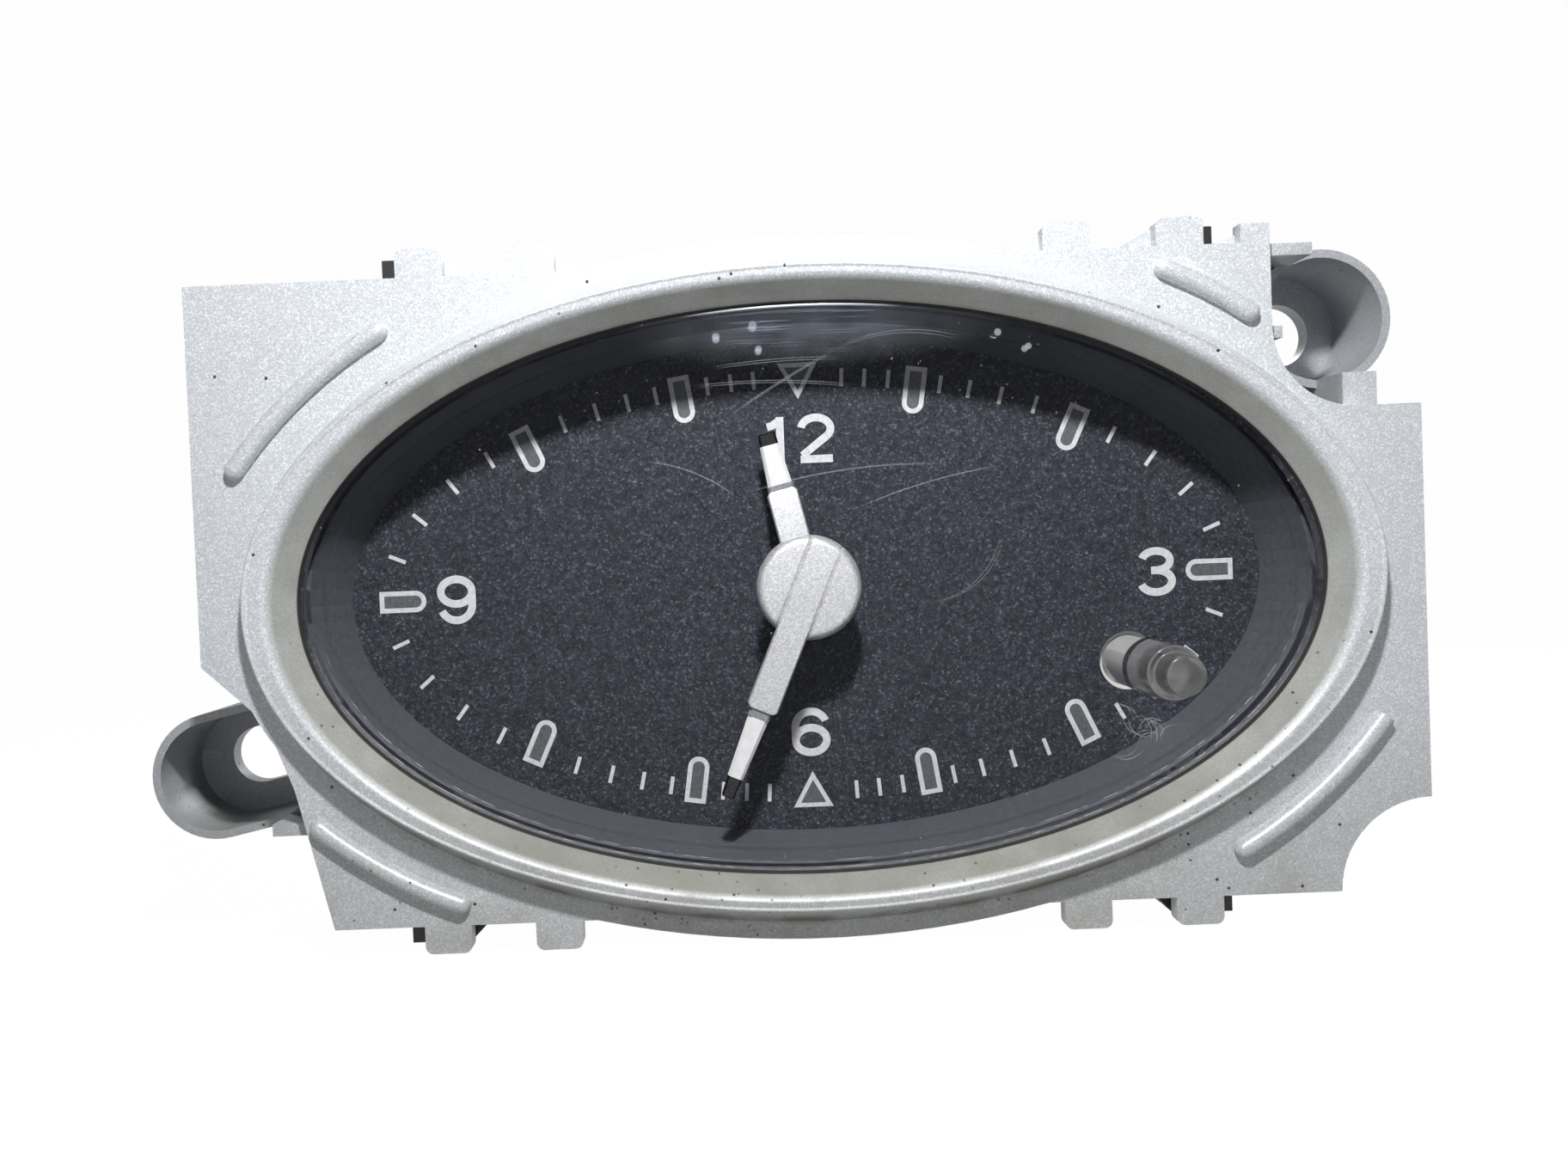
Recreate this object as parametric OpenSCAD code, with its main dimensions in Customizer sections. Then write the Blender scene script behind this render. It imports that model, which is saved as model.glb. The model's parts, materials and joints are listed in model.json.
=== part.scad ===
// Oval analogue car dashboard clock: silver fascia frame with lens, dial and hands in front,
// a quartz movement and circuit board inside, and a black clip-fit housing with two bulbs behind.
// The face looks towards -Y, twelve o'clock is +Z, and the origin is the middle of the lens
// opening in the front face of the plate.

/* [Bezel ring] */
// Half width of the oval ring at its foot
ring_half_w = 56.8; // [55.5:0.1:58]
// Half height of the oval ring at its foot
ring_half_h = 33; // [32:0.1:34.5]
// Height of the ring's crest above the plate
ring_rise = 2.5; // [1.5:0.1:4]
// Run of the ring's outer flank at the top
ring_flank = 0.9; // [0.8:0.1:1.6]
// Width of the ring's flat crest
ring_crest = 0.8; // [0.3:0.1:0.9]
// Half width of the lens opening
lens_half_w = 51.3; // [49.8:0.1:52]
// Half height of the lens opening
lens_half_h = 28.5; // [28:0.1:29]

/* [Plate] */
// Thickness of the plate
plate_t = 2; // [1.5:0.1:2.5]
// Reach of the plate to the left of the hand axis
plate_left = 61.4; // [59:0.1:64]
// Reach of the plate to the right of the hand axis
plate_right = 61.2; // [59:0.1:64]
// Half height of the plate
plate_half_h = 32.5; // [32.3:0.1:33.5]
// Rim that the plate leaves around the ring
plate_rim = 2.2; // [1.5:0.1:3]
// Height of the left edge's lower end
left_edge_foot = -5.5; // [-8:0.1:-3]
// Top of the right wing
wing_top = 16; // [14:0.1:16]
// Radius of the scoop in the lower right corner
scoop_r = 9.2; // [7:0.1:9.5]
// Right edge of the plate's top part
top_right = 46.7; // [46:0.1:47.5]
// Top of the narrow tab at the right end of the top edge
end_tab_top = 34.4; // [33.5:0.1:35.3]
// Width of the narrow tab
end_tab_w = 2.9; // [2:0.1:3.2]

/* [Snap tabs] */
// Width of a tab
tab_w = 4.7; // [3.5:0.1:5.2]
// Height of the tabs' ends above and below the hand axis
tab_reach = 35.3; // [34.8:0.1:36.5]
// Distance of the outer tabs from the middle
tab_outer_x = 37.8; // [37:0.1:38.5]
// Distance of the inner tabs from the middle
tab_inner_x = 26.6; // [25.5:0.1:27.5]
// Corner radius of a tab
tab_corner = 0.8; // [0.4:0.1:1.2]

/* [Ribs] */
// Half width of the four rounded ribs
rib_r = 1; // [0.7:0.05:1.3]
// Height of the ribs' centre line above the plate
rib_lift = 0.3; // [0:0.05:0.6]
// Radius that the ribs are bent to
rib_bend = 48; // [44:1:70]

/* [Case] */
// Half width of the case's oval part
case_half_w = 55.5; // [55:0.1:56]
// Half width of the case's box part
box_half_w = 44; // [43:0.1:44.5]
// Half height of the case
case_half_h = 32.2; // [31.8:0.1:32.3]
// Wall of the skirt behind the plate
skirt_wall = 1.6; // [1.2:0.1:1.8]
// Depth of the split between frame and housing
split_depth = 9; // [8.5:0.1:9.5]
// Wall of the housing
housing_wall = 1.8; // [1.4:0.1:2.2]
// Width of the ledge that the light guide rests on
ledge_w = 1.4; // [1:0.1:1.8]
// Thickness of the housing's back
back_wall = 2; // [1.6:0.1:2.6]
// Clear depth between circuit board and the housing's back
rear_room = 6; // [5:0.1:7]
// Corner radius of the case's box part
box_corner = 3.6; // [2.5:0.1:4]
// Height and inset of the step around the housing's back
back_step = 1.2; // [0.6:0.1:1.6]

/* [Screw pockets] */
// Outer radius of the upper pocket
upper_pocket_r = 7.25; // [6.8:0.05:7.5]
// Outer radius of the lower pocket's round end
lower_pocket_r = 6.7; // [6.2:0.05:6.8]
// Wall of the pockets
pocket_wall = 0.85; // [0.7:0.05:1.1]
// Depth of the pockets' mouths behind the plate's face
pocket_mouth = 7.8; // [6:0.1:8]
// Depth of the pockets' floors
pocket_floor = 19.6; // [17:0.1:21]
// Thickness of the pockets' floors
pocket_floor_t = 2.4; // [2:0.1:4]
// Radius of the upper screw hole
screw_hole_r = 3.5; // [2.5:0.05:4]
// Half width of the lower screw slot
screw_slot_r = 3.2; // [2.5:0.05:3.6]
// Length between the lower slot's end centres
screw_slot_run = 3; // [2:0.1:3.5]
// Length between the lower pocket's end centres
lower_pocket_run = 5.4; // [4.5:0.1:5.6]
// Tilt of the lower pocket
lower_pocket_tilt = 12; // [8:0.5:14]

/* [Face] */
// Thickness of the lens
lens_t = 1.8; // [1.5:0.1:2]
// Thickness of the lens flange
lens_flange_t = 1.4; // [1:0.1:1.8]
// Width of the lens flange around the opening
lens_flange_w = 1.4; // [1:0.1:1.8]
// Depth of the dial behind the plate's face
dial_depth = 10; // [9.6:0.1:10.6]
// Thickness of the dial
dial_t = 0.6; // [0.4:0.1:1]
// Half width of the shroud's inner edge at the dial
shroud_half_w = 48.5; // [47:0.1:49]
// Half height of the shroud's inner edge at the dial
shroud_half_h = 26.2; // [25:0.1:26.5]
// Wall of the shroud
shroud_wall = 1.2; // [0.9:0.1:1.4]
// Thickness of the light guide
guide_t = 2.5; // [2:0.1:3.2]

/* [Hands] */
// Length of the minute hand from the axis
minute_len = 23.1; // [20:0.1:23.5]
// Length of the hour hand from the axis
hour_len = 16.5; // [13:0.1:18]
// Width of the hands' silver bars
hand_w = 3.25; // [2.6:0.05:3.6]
// Radius of the cap over the axis
cap_r = 5.4; // [4.5:0.1:5.8]
// Thickness of the hands
hand_t = 1.2; // [0.9:0.1:1.3]
// Minute hand's angle, clockwise from twelve
minute_angle = 203.5; // [0:0.5:360]
// Hour hand's angle, clockwise from twelve
hour_angle = 347; // [0:0.5:360]

/* [Set button] */
// Distance of the button's axis to the right of the hand axis
button_x = 34.3; // [33:0.1:35]
// Distance of the button's axis below the hand axis
button_drop = 9.4; // [8.5:0.1:10]
// Radius of the button's shank
button_r = 2.7; // [2.4:0.05:2.8]
// Radius of the button's tip
button_tip_r = 1.95; // [1.5:0.05:2.2]
// Height of the shank's shoulder above the plate
button_shoulder = 5.3; // [4.5:0.1:6]
// Height of the button's tip above the plate
button_top = 8.7; // [8:0.1:10]
// Travel of the button
button_travel = 1.2; // [0.8:0.1:1.4]

/* [Wheel train] */
// Distance of the motion wheel and the intermediate wheel from the hand axis
train_distance = 6; // [5.6:0.1:6.6]
// Distance of the rotor from the intermediate wheel
rotor_distance = 5.6; // [5.4:0.1:6]
// Thickness of the wheels
wheel_t = 0.8; // [0.6:0.05:0.9]
// Radius of the minute arbor
arbor_r = 0.6; // [0.5:0.02:0.7]
// Wall of the hour wheel's pipe
pipe_wall = 0.84; // [0.6:0.02:0.9]
// Radius of the wheels' pivots
pivot_r = 0.4; // [0.3:0.02:0.45]
// Thickness of the movement's plates
movement_plate_t = 1.2; // [1:0.1:1.4]
// Radius of the rotor magnet
magnet_r = 3; // [2.6:0.1:3.1]

/* [Board and bulbs] */
// Thickness of the circuit board
board_t = 1.6; // [1.2:0.1:2]
// Radius of the bulbs' glass
bulb_r = 2.5; // [2.2:0.1:2.8]
// Radius of the bulb holders' barrels
holder_r = 5; // [4.6:0.1:5.2]
// Radius of the bulb holders' grips
holder_grip_r = 7; // [6.6:0.1:7.6]
// Distance of the bulbs from the middle
bulb_x = 30; // [29:0.1:30.5]
// Height of the bulbs above the hand axis
bulb_z = 6; // [5.5:0.1:7]
// Inner width of the plug socket
socket_w = 14.6; // [12:0.1:16]
// Inner height of the plug socket
socket_h = 7.6; // [6.5:0.1:8.5]
// Depth of the plug socket behind the housing
socket_depth = 9; // [8:0.1:11]

/* [Clearances] */
// Running clearance of shafts and the button in their bores
run_clear = 0.06; // [0.04:0.01:0.09]
// Clearance between pieces that are fixed together
fit_clear = 0.02; // [0.01:0.01:0.05]
// Clearance around pieces that drop into place
drop_clear = 0.3; // [0.2:0.05:0.4]
// End play of the turning pieces
end_play = 0.2; // [0.15:0.01:0.25]

/* [Hidden] */
$fn = 96;

// Overlap that makes joined shapes one solid, and the overshoot of a cut
bite = 0.4;
over = 1;
// Thickness of the end slices that a funnel is spanned between
skin = 0.01;

// Corners of the plate's lower left edge, where it runs in beside the lower pocket
lower_left_bends = [[-55.2, -11.3], [-52.6, -18.2]];
lower_left_corner_x = -49.2;
// Oval of the lens flange, which also covers the funnel behind it
flange_oval = [
  max(lens_half_w + lens_flange_w, shroud_half_w + shroud_wall),
  max(lens_half_h + lens_flange_w, shroud_half_h + shroud_wall)
];
// Room of the case's oval around the flange, and least run of the ring's inner slope
flange_room = drop_clear + skirt_wall;
ring_slope_least = 2;
ring_least = ring_flank + ring_crest + ring_slope_least;
// Ovals of the case and of the ring's foot, which grow where the flange and the lens need it
case_oval = [max(case_half_w, flange_oval[0] + flange_room), max(case_half_h, flange_oval[1] + flange_room)];
ring_oval = [max(ring_half_w, lens_half_w + ring_least), max(ring_half_h, lens_half_h + ring_least)];
// Screw pockets, set off from the case's box and oval
upper_pocket_out = 10.9;
upper_pocket_rise = 25.8;
upper_pocket_at = [box_half_w + upper_pocket_out, upper_pocket_rise];
lower_pocket_out = 7.9;
lower_pocket_drop = 17.6;
lower_pocket_at = [-case_oval[0] - lower_pocket_out, -lower_pocket_drop];
lower_slot_shift = [1, 0.6];
lower_slot_at = lower_pocket_at + lower_slot_shift;
// Hollow in the plate's edge in front of the upper pocket
upper_scoop_r = 8.2;
upper_scoop_drop = 1.6;
upper_scoop_at = upper_pocket_at - [0, upper_scoop_drop];
// Ends of the ribs, from left to right over the top and then along the bottom
rib_ends = [
  [[-57, 14], [-42, 27.3]],
  [[36, 30.3], [44.4, 25.6]],
  [[56.6, -15], [42.2, -27.8]],
  [[-36.3, -30.3], [-50.2, -22.1]]
];
// Step by which the ribs' round ends are slimmer than the ribs
rib_end_step = 0.05;
rib_facets = 32;
// Flange wedges beside the upper tabs
gusset_run = 3.9;
end_gusset_run = 2.4;
gusset_t = 1.2;
// Snap arms of the housing, which end just short of the tabs in front of them
arm_w = 8.2;
arm_shift = 0.3;
arm_gap = 0.2;
arm_short = 0.3;
arm_least = 1.4;
arm_t = max(tab_reach - arm_short - case_half_h - arm_gap, arm_least);
arm_chamfer_most = 2.1;
arm_chamfer = min(arm_chamfer_most, arm_t);
catch_w = 4;
catch_l = 1.6;
catch_rise = 1.3;
catch_lift = 3;
catch_front = catch_lift - split_depth;
arm_root = 2.5;
arm_heel = 9.5;
// Webs between the pockets and the skirt
web_t = 1.2;
wing_web_t = 3.4;
web_depth = 16;
web_foot = 2;
upper_web_rise = 6.2;
upper_web_drop = 2;
upper_web_side = 1;
wing_web_foot = 3;
lower_web_drop = 6;
// Least corner radius where the case's plan is set in
corner_least = 0.2;
// Root of the snap tabs, inside the case's wall
box_tab_root = case_half_h - skirt_wall;

// Levels along the hand axis, counted from the plate's face towards the viewer
plate_back = -plate_t;
lens_front = -0.1;
lens_gap = 0.15;
lens_rim = 1.8;
flange_back = plate_back - lens_flange_t;
dial_front = -dial_depth;
dial_back = dial_front - dial_t;
guide_back = dial_back - guide_t;
movement_front = guide_back;
movement_front_back = movement_front - movement_plate_t;
wheel_gap = 0.45;
wheel_pitch = wheel_t + wheel_gap;
hour_level = movement_front_back - end_play - wheel_t;
motion_level = hour_level - wheel_pitch;
centre_level = motion_level - wheel_pitch;
third_level = centre_level - wheel_pitch;
stator_t = 1;
stator_room = 0.5;
stator_level = third_level - stator_room - stator_t;
coil_half_t = 2.1;
coil_room = 0.4;
core_level = stator_level + 1.5 * stator_t;
movement_back_front = core_level - coil_half_t - coil_room;
movement_back = movement_back_front - movement_plate_t;
standoff = 0.7;
board_front = movement_back - standoff;
board_back = board_front - board_t;
housing_floor = board_back - rear_room;
housing_back = housing_floor - back_wall;
split_gap = 0.1;
housing_front = -split_depth - split_gap;
arm_front = plate_back - gusset_t - arm_gap;

// Hands and their seats
lens_room = 0.7;
minute_top = lens_front - lens_t - lens_room;
minute_back = minute_top - hand_t;
collet_len = 0.9;
collet_gap = 0.3;
hour_top = minute_back - collet_len - collet_gap;
hour_back = hour_top - hand_t;
hour_collet_len = 1.4;
pipe_bore_r = arbor_r + run_clear;
pipe_r = pipe_bore_r + pipe_wall;
hour_collet_wall = 1;
minute_collet_wall = 1.3;
collet_room = 0.5;
hour_collet_r = pipe_r + hour_collet_wall;
minute_collet_r = arbor_r + minute_collet_wall;
dial_hole_r = hour_collet_r + collet_room;

hand_step = 0.6;
minute_neck_l = 9.6;
minute_bar = minute_len - minute_neck_l;
minute_neck_w = 2.1;
minute_tip_w = 1.3;
hour_neck_l = 6.1;
hour_bar = hour_len - hour_neck_l;
hour_neck_w = 2.5;
hour_tip_w = 1.8;
minute_skin = 0.5;
cap_dome_r = 40;
cap_dome = 0.3;
groove_w = 0.35;
groove_depth = 0.3;

// Set button and its switch
button_at = [button_x, -button_drop];
collar_gap = 0.1;
light_well = 1.2;
light_well_gap = 0.6;
lens_hole_gap = 0.35;
dial_hole_gap = 0.45;
button_hole_r = button_r + lens_hole_gap;
button_dial_hole_r = button_r + dial_hole_gap;
button_collar_r = 3.6;
button_collar_t = 1.4;
button_tail_r = 1.6;
switch_w = 6;
switch_h = 3.5;
plunger_r = 1.4;
plunger_out = 1.4;
plunger_in = 1.4;
switch_front = board_front + switch_h;
plunger_front = switch_front + plunger_out;
plunger_back = switch_front - plunger_in;
button_tail = plunger_front + fit_clear;

// Wheel train: numbers of teeth
cannon_teeth = 12;
motion_teeth = 36;
motion_pinion_teeth = 10;
hour_teeth = 40;
centre_teeth = 40;
third_pinion_teeth = 8;
third_teeth = 48;
rotor_teeth = 8;
// Directions in which the train branches, counted from three o'clock
motion_dir = 150;
third_dir = 20;
rotor_dir = 80;
motion_at = train_distance * [cos(motion_dir), sin(motion_dir)];
third_at = train_distance * [cos(third_dir), sin(third_dir)];
rotor_at = third_at + rotor_distance * [cos(rotor_dir), sin(rotor_dir)];
// Share of the pitch that a tooth fills, and its height above and below the pitch circle
tooth_share = 0.4;
tooth_tip = 0.75;
tooth_root = 1.1;
// Shares of a tooth's angle at its tip and at its root
tip_share = 0.5;
root_share = 1.4;
hub_r = 1.1;
shank_r = 0.55;
pinion_over = 0.15;
magnet_over = 0.2;

// Movement plates and what stands between them
movement_low = [-12, -8];
movement_high = [14, 21];
pillar_r = 1.3;
pillar_inset = 1.7;
movement_screw_r = 0.6;
movement_screw_head_r = 1.2;
movement_screw_head_t = 0.6;
movement_screw_l = 4;
stator_gap = 0.4;
stator_ring = 1.2;
stator_arm = 2.4;
stator_notch = 0.35;
core_post_x = 9;
core_post_r = 1.2;
coil_y = 16;
core_w = 3;
core_half_l = 10.5;
coil_half_l = 6.5;
coil_half_w = 3.2;
bobbin_wall = 0.6;
bobbin_flange = 0.7;

// Circuit board and what is on it
board_low = [-24, -22];
board_high = [39, 22];
boss_inset = 3;
boss_r = 3;
board_screw_r = 1.1;
board_screw_head_r = 2.2;
board_screw_head_t = 1.4;
board_screw_l = 4.5;
pin_w = 0.9;
pin_pitch = 4;
pin_count = 3;
pin_x = 4;
pin_z = -15;
socket_wall = 1.4;
pin_short = 4.6;
chip_at = [-10, 2];
chip_l = 9;
chip_w = 4;
chip_t = 1.5;
chip_lift = 0.15;
chip_legs = 7;
chip_leg_pitch = 1.2;
chip_leg_w = 0.45;
chip_leg_l = 1;
crystal_at = [14, -2];
crystal_r = 1.5;
crystal_l = 8;
capacitor_at = [-16, -10];
capacitor_r = 2.9;
capacitor_h = 4.6;

// Bulbs and holders
holder_lug = 1.3;
holder_lug_w = 2.6;
holder_lug_t = 1.2;
holder_twist = 45;
holder_grip_t = 1.6;
holder_key_h = 3;
holder_key_w = 2.2;
holder_rise = 1;
holder_top = board_back + holder_rise;
holder_seal_gap = 0.1;
bulb_base_l = 3;
bulb_base_step = 0.4;
bulb_gap = 1.6;
bulb_top = guide_back - bulb_gap;

// Frame in which the clock lies on its back, with the viewer at +Z
module face_on() {
  rotate([90, 0, 0]) children();
}

module oval(a, b) {
  scale([a / b, 1]) circle(b);
}

// Oval frustum that grows from one half size to another over its height
module oval_cone(a, b, h, grow) {
  scale([a / b, 1, 1]) cylinder(h = h, r1 = b, r2 = b + grow);
}

module slab(z0, z1) {
  translate([0, 0, min(z0, z1)]) linear_extrude(abs(z1 - z0)) children();
}

module rod(at, r, z0, z1) {
  translate([at[0], at[1], min(z0, z1)]) cylinder(h = abs(z1 - z0), r = r);
}

module stadium(run, r) {
  circle(r);
  translate([run, 0]) circle(r);
  translate([0, -r]) square([run, 2 * r]);
}

module rounded(w, h, r) {
  square([w - 2 * r, h], center = true);
  square([w, h - 2 * r], center = true);
  for (x = [-1, 1], y = [-1, 1]) translate([x * (w / 2 - r), y * (h / 2 - r)]) circle(r);
}

// Plan of the case: a box with an oval laid across it
module case_plan(inset) {
  oval(case_oval[0] - inset, case_oval[1] - inset);
  rounded(2 * (box_half_w - inset), 2 * (case_half_h - inset), max(box_corner - inset, corner_least));
}

function turned(at, angle, run) = at + run * [cos(angle), sin(angle)];

// Straight-flanked teeth on a pitch radius, with a tooth on the direction of phase
function teeth_points(n, r, phase) = let (
  m = 2 * r / n,
  half = 180 / n * tooth_share,
  tip = r + tooth_tip * m,
  root = r - tooth_root * m
) [
  for (i = [0 : n - 1], k = [0 : 3]) let (
    side = k < 2 ? -1 : 1,
    high = k == 1 || k == 2,
    a = phase + i * 360 / n + side * half * (high ? tip_share : root_share)
  ) (high ? tip : root) * [cos(a), sin(a)]
];

module toothed(at, n, r, phase, z0, z1) {
  slab(z0, z1) translate(at) polygon(teeth_points(n, r, phase));
}

function wheel_share(n, other, distance) = distance * n / (n + other);

// Front frame
module plate_plan() {
  difference() {
    union() {
      polygon([
        [-plate_left, plate_half_h], [-plate_left, left_edge_foot], lower_left_bends[0],
        lower_left_bends[1], [lower_left_corner_x, -plate_half_h], [plate_right, -plate_half_h],
        [plate_right, wing_top], [upper_scoop_at[0], wing_top], upper_scoop_at,
        [top_right, upper_scoop_at[1]], [top_right, plate_half_h]
      ]);
      oval(ring_oval[0] + plate_rim, ring_oval[1] + plate_rim);
      for (s = [-1, 1], t = [-1, 1], x = [tab_outer_x, tab_inner_x]) {
        translate([s * x, t * (tab_reach + box_tab_root) / 2])
          rounded(tab_w, tab_reach - box_tab_root, tab_corner);
      }
      translate([top_right - end_tab_w, box_tab_root]) square([end_tab_w, end_tab_top - box_tab_root]);
    }
    translate([plate_right, -plate_half_h]) circle(scoop_r);
    translate(upper_scoop_at) circle(upper_scoop_r);
    oval(lens_half_w, lens_half_h);
  }
}

// Ring with an outer flank, a flat crest and a slope down to the lens; at the sides, where the lens
// is longer in proportion, the slope ends in a low wall around the lens
module bezel_ring() {
  crest_in = ring_oval * (1 - ring_flank / ring_oval[1]) - ring_crest * [1, 1];
  slope_foot = lens_half_h * crest_in[0] / crest_in[1];
  difference() {
    translate([0, 0, -bite]) oval_cone(ring_oval[0], ring_oval[1], ring_rise + bite, -ring_flank);
    oval_cone(slope_foot, lens_half_h, ring_rise, crest_in[1] - lens_half_h);
    translate([0, 0, -over]) slab(0, over) oval(lens_half_w, lens_half_h);
    translate([0, 0, ring_rise]) slab(0, over) oval(crest_in[0], crest_in[1]);
  }
}

// Half-round section of a rib, with its foot sunk into the plate
module rib_section(r) {
  intersection() {
    translate([0, rib_lift]) circle(r, $fn = rib_facets);
    translate([-r, -bite]) square([2 * r, rib_lift + r + bite]);
  }
}

// Rounded rib bent along an arc between two points, bulging to the left of its run
module rib(from, to) {
  chord = to - from;
  half = norm(chord) / 2;
  away = sqrt(rib_bend * rib_bend - half * half);
  middle = (from + to) / 2 + away * [chord[1], -chord[0]] / (2 * half);
  start = atan2(to[1] - middle[1], to[0] - middle[0]);
  translate([middle[0], middle[1], 0]) rotate(start)
    rotate_extrude(angle = 2 * asin(half / rib_bend)) translate([rib_bend, 0]) rib_section(rib_r);
  for (p = [from, to]) translate([p[0], p[1], 0]) rotate_extrude() intersection() {
    rib_section(rib_r - rib_end_step);
    translate([0, -over]) square(rib_r + rib_lift + over);
  }
}

// Upright web from the skirt to a pocket, deeper at the pocket; its run starts at the skirt
module web(at, dir, run, t) {
  translate([at[0], at[1], 0]) rotate(dir) rotate([90, 0, 0]) translate([0, 0, -t / 2])
    linear_extrude(t) polygon([[0, plate_back + bite], [run, plate_back + bite], [run, -web_depth],
      [run - web_foot, -web_depth], [0, -split_depth]]);
}

module lower_pocket(r, z0, z1) {
  slab(z0, z1) translate(lower_pocket_at) rotate(lower_pocket_tilt) stadium(lower_pocket_run, r);
}

// Half of the chord that a circle leaves at a height above its centre
function chord_half(r, rise) = sqrt(r * r - rise * rise);

module upper_pocket_webs() {
  x0 = box_half_w - bite;
  top_y = upper_pocket_at[1] + upper_web_rise;
  side_x = upper_pocket_at[0] + upper_web_side;
  web([x0, top_y], 0, upper_pocket_at[0] - chord_half(upper_pocket_r, upper_web_rise) + bite - x0, web_t);
  web([x0, upper_pocket_at[1] - upper_web_drop], 0,
    upper_pocket_at[0] - chord_half(upper_pocket_r, upper_web_drop) + bite - x0, web_t);
  web([side_x, wing_top - wing_web_foot], 90,
    upper_pocket_at[1] - chord_half(upper_pocket_r, upper_web_side + wing_web_t / 2) + bite - wing_top
    + wing_web_foot, wing_web_t);
}

module lower_pocket_webs() {
  inner = turned(lower_pocket_at, lower_pocket_tilt, lower_pocket_run);
  low_y = inner[1] - lower_web_drop;
  far_x = oval_x(inner[1]) + bite;
  web([far_x, inner[1]], 180, far_x - inner[0] - lower_pocket_r + bite, web_t);
  web([bite - box_half_w, low_y], 180,
    bite - box_half_w - inner[0] - chord_half(lower_pocket_r, lower_web_drop) + bite, web_t);
}

// Left edge of the case's oval at a height
function oval_x(y) = -case_oval[0] * sqrt(1 - y * y / (case_oval[1] * case_oval[1]));

// Wedge that a snap arm's window drops over, on the top wall of the skirt
module snap_catch() {
  translate([-catch_w / 2, 0, 0]) rotate([90, 0, 90]) linear_extrude(catch_w) polygon([
    [case_half_h - bite, catch_front], [case_half_h + catch_rise, catch_front],
    [case_half_h + catch_rise, catch_front - catch_l / 3], [case_half_h, catch_front - catch_l],
    [case_half_h - bite, catch_front - catch_l]
  ]);
}

// Copies at the four outer tabs; the lower ones are mirrored to the bottom edge
module at_outer_tabs() {
  for (s = [0, 1], t = [0, 1]) mirror([0, t, 0]) mirror([s, 0, 0]) translate([tab_outer_x, 0, 0])
    children();
}

// Wedge behind the plate, from its top edge up along the left side of a tab
module tab_gusset(edge, top, run) {
  slab(plate_back - gusset_t, plate_back + bite) polygon([
    [edge + bite, plate_half_h - over], [edge + bite, top], [edge, top], [edge - run, plate_half_h],
    [edge - run, plate_half_h - over]
  ]);
}

module front_frame() {
  color("silver") face_on() difference() {
    union() {
      slab(plate_back, 0) plate_plan();
      bezel_ring();
      for (e = rib_ends) rib(e[0], e[1]);
      slab(-split_depth, plate_back + bite) case_plan(0);
      at_outer_tabs() snap_catch();
      for (s = [0, 1], x = [tab_outer_x, tab_inner_x]) mirror([s, 0, 0])
        tab_gusset(x - tab_w / 2, tab_reach - tab_corner, gusset_run);
      tab_gusset(top_right - end_tab_w, end_tab_top - tab_corner, end_gusset_run);
      rod(upper_pocket_at, upper_pocket_r, -pocket_floor - pocket_floor_t, -pocket_mouth);
      upper_pocket_webs();
      lower_pocket(lower_pocket_r, -pocket_floor - pocket_floor_t, -pocket_mouth);
      lower_pocket_webs();
    }
    slab(-split_depth - over, plate_back) case_plan(skirt_wall);
    slab(plate_back - over, over) oval(lens_half_w, lens_half_h);
    rod(upper_pocket_at, upper_pocket_r - pocket_wall, -pocket_floor, -pocket_mouth + over);
    rod(upper_pocket_at, screw_hole_r, -pocket_floor - pocket_floor_t - over, -pocket_floor + over);
    lower_pocket(lower_pocket_r - pocket_wall, -pocket_floor, -pocket_mouth + over);
    slab(-pocket_floor - pocket_floor_t - over, -pocket_floor + over)
      translate(lower_slot_at) rotate(lower_pocket_tilt) stadium(screw_slot_run, screw_slot_r);
  }
}

// Lens, shroud and dial
module lens() {
  color([0.9, 0.93, 0.95, 0.4]) face_on() difference() {
    union() {
      slab(flange_back, lens_front) oval(lens_half_w - lens_gap, lens_half_h - lens_gap);
      slab(flange_back, plate_back) flange_plan();
    }
    slab(flange_back - over, lens_front - lens_t) oval(lens_half_w - lens_rim, lens_half_h - lens_rim);
    rod(button_at, button_hole_r, flange_back, over);
  }
}

module flange_plan() {
  oval(flange_oval[0], flange_oval[1]);
}

// Funnel between two ovals, from the dial up to the lens
module funnel(low, high, z0, z1) {
  hull() {
    slab(z0, z0 + skin) oval(low[0], low[1]);
    slab(z1 - skin, z1) oval(high[0], high[1]);
  }
}

module shroud() {
  low = [shroud_half_w, shroud_half_h];
  high = [lens_half_w, lens_half_h] - lens_gap * [1, 1];
  wall = shroud_wall * [1, 1];
  lead = (high - low) * over / (flange_back - dial_front);
  color("dimgray") face_on() difference() {
    union() {
      funnel(low + wall, high + wall, dial_front, flange_back);
      slab(flange_back - shroud_wall, flange_back) flange_plan();
    }
    funnel(low - lead, high + lead, dial_front - over, flange_back + over);
  }
}

module dial() {
  color("darkslategray") face_on() slab(dial_back, dial_front) difference() {
    case_plan(housing_wall + drop_clear);
    circle(dial_hole_r);
    translate(button_at) circle(button_dial_hole_r);
  }
}

module light_guide() {
  color("white") face_on() difference() {
    slab(guide_back, dial_back) difference() {
      case_plan(housing_wall + drop_clear);
      circle(dial_hole_r);
      translate(button_at) circle(button_r + run_clear);
    }
    at_bulbs() rod([0, 0], bulb_r + light_well_gap, guide_back - over, guide_back + light_well);
  }
}

// Rear housing
// Plan of a snap arm from a height up, bevelled on the side towards the middle
module arm_plan(inner) {
  low = arm_shift - arm_w / 2;
  outer = case_half_h + arm_gap + arm_t;
  polygon([
    [low, inner], [low + arm_w, inner], [low + arm_w, outer], [low + arm_chamfer, outer],
    [low, outer - arm_chamfer]
  ]);
}

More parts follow.
